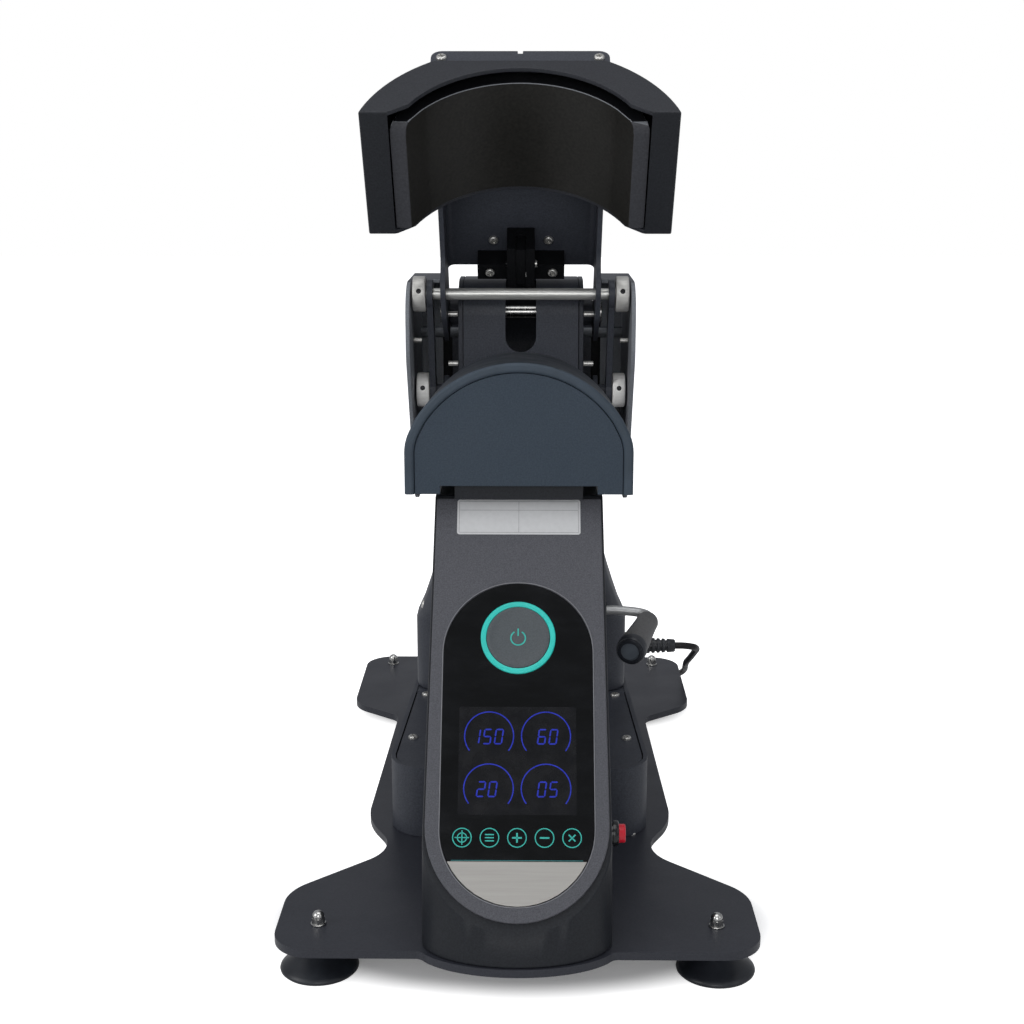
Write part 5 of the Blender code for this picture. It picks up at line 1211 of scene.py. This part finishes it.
def make_stop_bracket():
    """Two flanges screwed under the arm's web, a fork between them and the pin through it."""
    bracket = worked_copy("stop_bracket")
    for low, high in BRACKET_CUTS:
        carve(bracket, settle(block_start(low, high), OPENED))
    round_edges(bracket, 0.0005, 2)
    keep_flats_flat(stand_in(bracket, "stop_bracket", "deep_black"))
    pin = settle(turned(FORK_PIN, 40), OPENED @ facing(FORK_PIN_PLACE, RIGHT))
    finish_piece(pin, "fork_pin", "screw_dark", "head")
    second_finish(pin, "screw", lambda centre, normal: centre.x > FORK_PIN_HEAD)
    eye = block_start(*FORK_EYE)
    round_edges(eye, SHEET_EDGE, 2)
    finish_piece(settle(eye, OPENED), "fork_eye", "deep_black", "head")


def make_heater(down, front):
    """The heated plate: its legs reach almost as low as the housing's, and their ends are bare and paler."""
    heater = worked_copy("heater_plate")
    deepest = max(v.co.dot(down) for v in heater.data.vertices)
    pick(heater, "VERT", lambda vert: vert.co.dot(down) > deepest - HEATER_LEG_END)
    bpy.ops.transform.translate(value=down * HEATER_DROP)
    done()
    pick(heater, "VERT", lambda vert: vert.co.dot(down) > deepest and abs(vert.co.x) < HEATER_LEG_INSIDE)
    bpy.ops.transform.resize(value=(HEATER_LEG_SPREAD, 1.0, 1.0), center_override=(0.0, 0.0, 0.0))
    done()
    round_edges(heater, 0.0006, 3)
    stand_in(heater, "heater_plate", smooth=40.0)
    end = deepest + HEATER_DROP - 0.003
    # Deep black on the heater's front face: painted shade in the recess under the housing's front wall
    second_finish(heater, "deep_black", lambda centre, normal: normal.dot(front) > 0.9)
    # A painted highlight on the bevel along the heater's front edge
    second_finish(heater, "heater_painted_highlight", lambda centre, normal: 0.25 < normal.dot(front) <= 0.9)
    second_finish(heater, "heater_edge",
                  lambda centre, normal: centre.dot(down) > end and normal.dot(down) > 0.7)
    keep_flats_flat(heater)


def make_head():
    down = OPENED.to_3x3() @ Vector(DOWN)
    front = OPENED.to_3x3() @ Vector(FRONT)
    housing = refine("head_housing", 0.0007, finish="head", angle=SHARP_ANGLE, smooth=40.0)
    lowest = max(v.co.dot(down) for v in housing.data.vertices)
    # Black on the housing's downward faces at its lower edge: painted shade under the head
    second_finish(housing, "black",
                  lambda centre, normal: normal.dot(down) > 0.5 and centre.dot(down) > lowest - 0.003)
    make_heater(down, front)
    refine("head_block")
    refine("head_cover", 0.0005, angle=FOLD_ANGLE)
    refine("arm_channel", angle=FOLD_ANGLE, smooth=40.0)
    make_stop_bracket()
    refine("cross_rod", 0.0006, 3, finish="rod")


# Lever

GRIP_SHAPE = (
    (0.0, 0.0060), (0.0004, 0.0070), (0.0014, 0.0079), (0.0026, 0.0082), (0.0072, 0.0082), (0.0200, 0.0088),
    (0.0384, 0.0100), (0.0470, 0.0100), (0.0476, 0.0098), (0.0480, 0.0094),
)
GRIP_LENGTH = 0.0483
CAP_SHAPE = (
    (0.0, 0.0102), (0.0005, 0.0108), (0.0054, 0.0108), (0.0070, 0.0104), (0.0078, 0.0096),
    (0.0080, 0.0088), (0.0079, 0.0080), (0.0070, 0.0076),
)
CAP_DISH = ((0.0, 0.95), (0.0008, 0.97), (0.0001, 0.90))
CAP_FACE = 0.0555
CAP_PLUG_RADIUS = 0.0069


def make_lever():
    route = [Vector(LEVER_ROOT) + Vector(step) * LEVER_REACH for step in LEVER_SHARES]
    rod = as_mesh(drawn_line("lever_rod_form", smooth_line(route, 64), LEVER_RADIUS, 8))
    stand_in(rod, "lever_rod", "zinc")
    end = smooth_line(route, 22)
    heading = (end[-1] - end[-2]).normalized()
    place = facing(end[-1] + heading * 0.0003, heading)
    stand_in(settle(turned(GRIP_SHAPE, 72), place), "lever_grip", "grip", 40.0)
    cap = turned(CAP_SHAPE, 72)
    pick_faces(cap, lambda centre, normal: normal.z > 0.9 and centre.z > 0.006)
    pull(CAP_DISH)
    stand_in(settle(cap, place @ raised(GRIP_LENGTH)), "lever_grip_cap", smooth=40.0)
    axis = place.to_3x3() @ Vector(UP)
    middle = place @ Vector((0.0, 0.0, CAP_FACE))

    def plugged(centre, normal):
        away = centre - middle
        return (away - axis * away.dot(axis)).length < CAP_PLUG_RADIUS and normal.dot(axis) > 0.6
    second_finish(cap, "grip_plug", plugged)


# Lead

GLAND_NECK = (
    (-0.0060, 0.0072), (0.0, 0.0072), (0.0, 0.0105), (0.0026, 0.0105), (0.0030, 0.0100), (0.0030, 0.0074),
)
GLAND_END = ((0.0392, 0.0050), (0.0400, 0.0044))
GLAND_GROOVES = 7
GLAND_GROOVE = ((0.0, 0.0), (0.0003, 0.0012), (0.0015, 0.0012), (0.0018, 0.0))
GLAND_LENGTH = 0.040


def make_gland():
    """A tapered boot with grooves that let it bend."""
    steps = list(GLAND_NECK)
    for i in range(GLAND_GROOVES):
        along = 0.0080 + i * 0.0040
        wide = 0.0072 - 0.0022 * along / GLAND_LENGTH
        steps += [(along + further, wide - deeper) for further, deeper in GLAND_GROOVE]
    boot = turned(steps + list(GLAND_END), 48)
    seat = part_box("strain_relief")[1][0] - GLAND_LENGTH
    centre = middle_of("strain_relief")
    stand_in(settle(boot, facing((seat, centre.y, centre.z), RIGHT)), "strain_relief")


BLADE_LENGTH = 0.0170
RIB_COUNT = 5
RIB_HALF = Vector((0.0005, 0.0006, 0.0070))


def make_plug():
    """The moulded plug with its metal blades and a grip of small ribs."""
    low, high = (Vector(corner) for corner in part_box("plug"))
    plug = worked_copy("plug")
    round_edges(plug, 0.0003, 2, 40.0)
    stand_in(plug, "plug", smooth=50.0)
    face = high.y - BLADE_LENGTH
    second_finish(plug, "blade", lambda centre, normal: centre.y > face + 0.0001)
    centre = (low + high) / 2
    ribs = []
    for side in (-1, 1):
        for i in range(RIB_COUNT):
            place = Vector((centre.x + side * 0.0136, low.y + 0.0265 + i * 0.0030, centre.z))
            ribs.append(round_edges(block_start(place - RIB_HALF, place + RIB_HALF), 0.0003, 2))
    finish_piece(joined(ribs), "plug_ribs", "rubber")


# Stage

WHITE = (1.0, 1.0, 1.0, 1.0)
SKY = (0.93, 0.95, 1.0, 1.0)
PAPER = (0.86, 0.86, 0.86, 1.0)
# Softboxes: name, place, width and power
SOFTBOXES = (
    ("softbox_top", (0.0, -0.45, 2.1), 1.5, 13.0),
    ("softbox_left", (-1.7, -1.0, 1.1), 1.2, 13.0),
    ("softbox_right", (1.7, -1.0, 1.1), 1.2, 2.5),
    ("softbox_front", (0.0, -2.3, 0.9), 1.1, 10.0),
)
LIT_POINT = Vector((0.0, 0.0, 0.25))


def set_world():
    """A soft fill from all round, and plain white behind the press."""
    world = bpy.data.worlds.new("studio")
    bpy.context.scene.world = world
    world.use_nodes = True
    tree = world.node_tree
    fill = tree.nodes["Background"]
    fill.inputs["Color"].default_value = SKY
    fill.inputs["Strength"].default_value = 0.36
    white = add_node(tree, "Background", {"Color": WHITE, "Strength": 1.0})
    seen = add_node(tree, "LightPath").outputs["Is Camera Ray"]
    sockets = {0: seen, 1: fill.outputs["Background"], 2: white.outputs["Background"]}
    mix = add_node(tree, "MixShader", sockets)
    tree.links.new(mix.outputs["Shader"], tree.nodes["World Output"].inputs["Surface"])


def set_stage():
    set_world()
    floor = new_shape(bpy.ops.mesh.primitive_plane_add, size=12.0)
    floor.name = "floor"
    floor.data.materials.append(white_paper())
    for name, place, size, power in SOFTBOXES:
        data = bpy.data.lights.new(name, "AREA")
        data.size = size
        data.energy = power
        lamp = bpy.data.objects.new(name, data)
        bpy.context.scene.collection.objects.link(lamp)
        lamp.location = place
        lamp.rotation_euler = (LIT_POINT - Vector(place)).to_track_quat("-Z", "Y").to_euler()
    bpy.context.scene.view_settings.view_transform = "Standard"


def white_paper():
    """Backdrop paper: it keeps the shadow under the press and fades to plain white away from it."""
    paper = bpy.data.materials.new("white paper")
    paper.use_nodes = True
    tree = paper.node_tree
    shader = tree.nodes["Principled BSDF"]
    shader.inputs["Base Color"].default_value = PAPER
    shader.inputs["Roughness"].default_value = 0.9
    shader.inputs["Specular IOR Level"].default_value = 0.0
    place = add_node(tree, "TexCoord").outputs["Object"]
    fades = []
    for middle, reach in FLOOR_SHADOWS:
        shift = add_node(tree, "VectorMath", {0: place, 1: (0.0, middle, 0.0)}, operation="SUBTRACT")
        sockets = {0: shift.outputs["Vector"], 1: (*reach, 1.0)}
        shape = add_node(tree, "VectorMath", sockets, operation="DIVIDE")
        away = add_node(tree, "VectorMath", {0: shape.outputs["Vector"]}, operation="LENGTH")
        sockets = {"Value": away.outputs["Value"], **FLOOR_FADE}
        fade = add_node(tree, "MapRange", sockets, interpolation_type="SMOOTHSTEP")
        fades.append(fade.outputs["Result"])
    nearest = add_node(tree, "Math", {0: fades[0], 1: fades[1]}, operation="MINIMUM")
    seen = add_node(tree, "LightPath").outputs["Is Camera Ray"]
    lift = add_node(tree, "Math", {0: nearest.outputs["Value"], 1: seen}, operation="MULTIPLY")
    glow = add_node(tree, "Emission", {"Color": WHITE, "Strength": lift.outputs["Value"]})
    both = add_node(tree, "AddShader", {0: shader.outputs["BSDF"], 1: glow.outputs["Emission"]})
    tree.links.new(both.outputs["Shader"], tree.nodes["Material Output"].inputs["Surface"])
    return paper


def main():
    set_camera()
    lay_cord()
    paint_nodes()
    make_console()
    make_body()
    make_bed_cover()
    make_head()
    make_collars()
    make_lever()
    make_gland()
    make_plug()
    make_feet()
    put_screws()
    set_stage()


main()
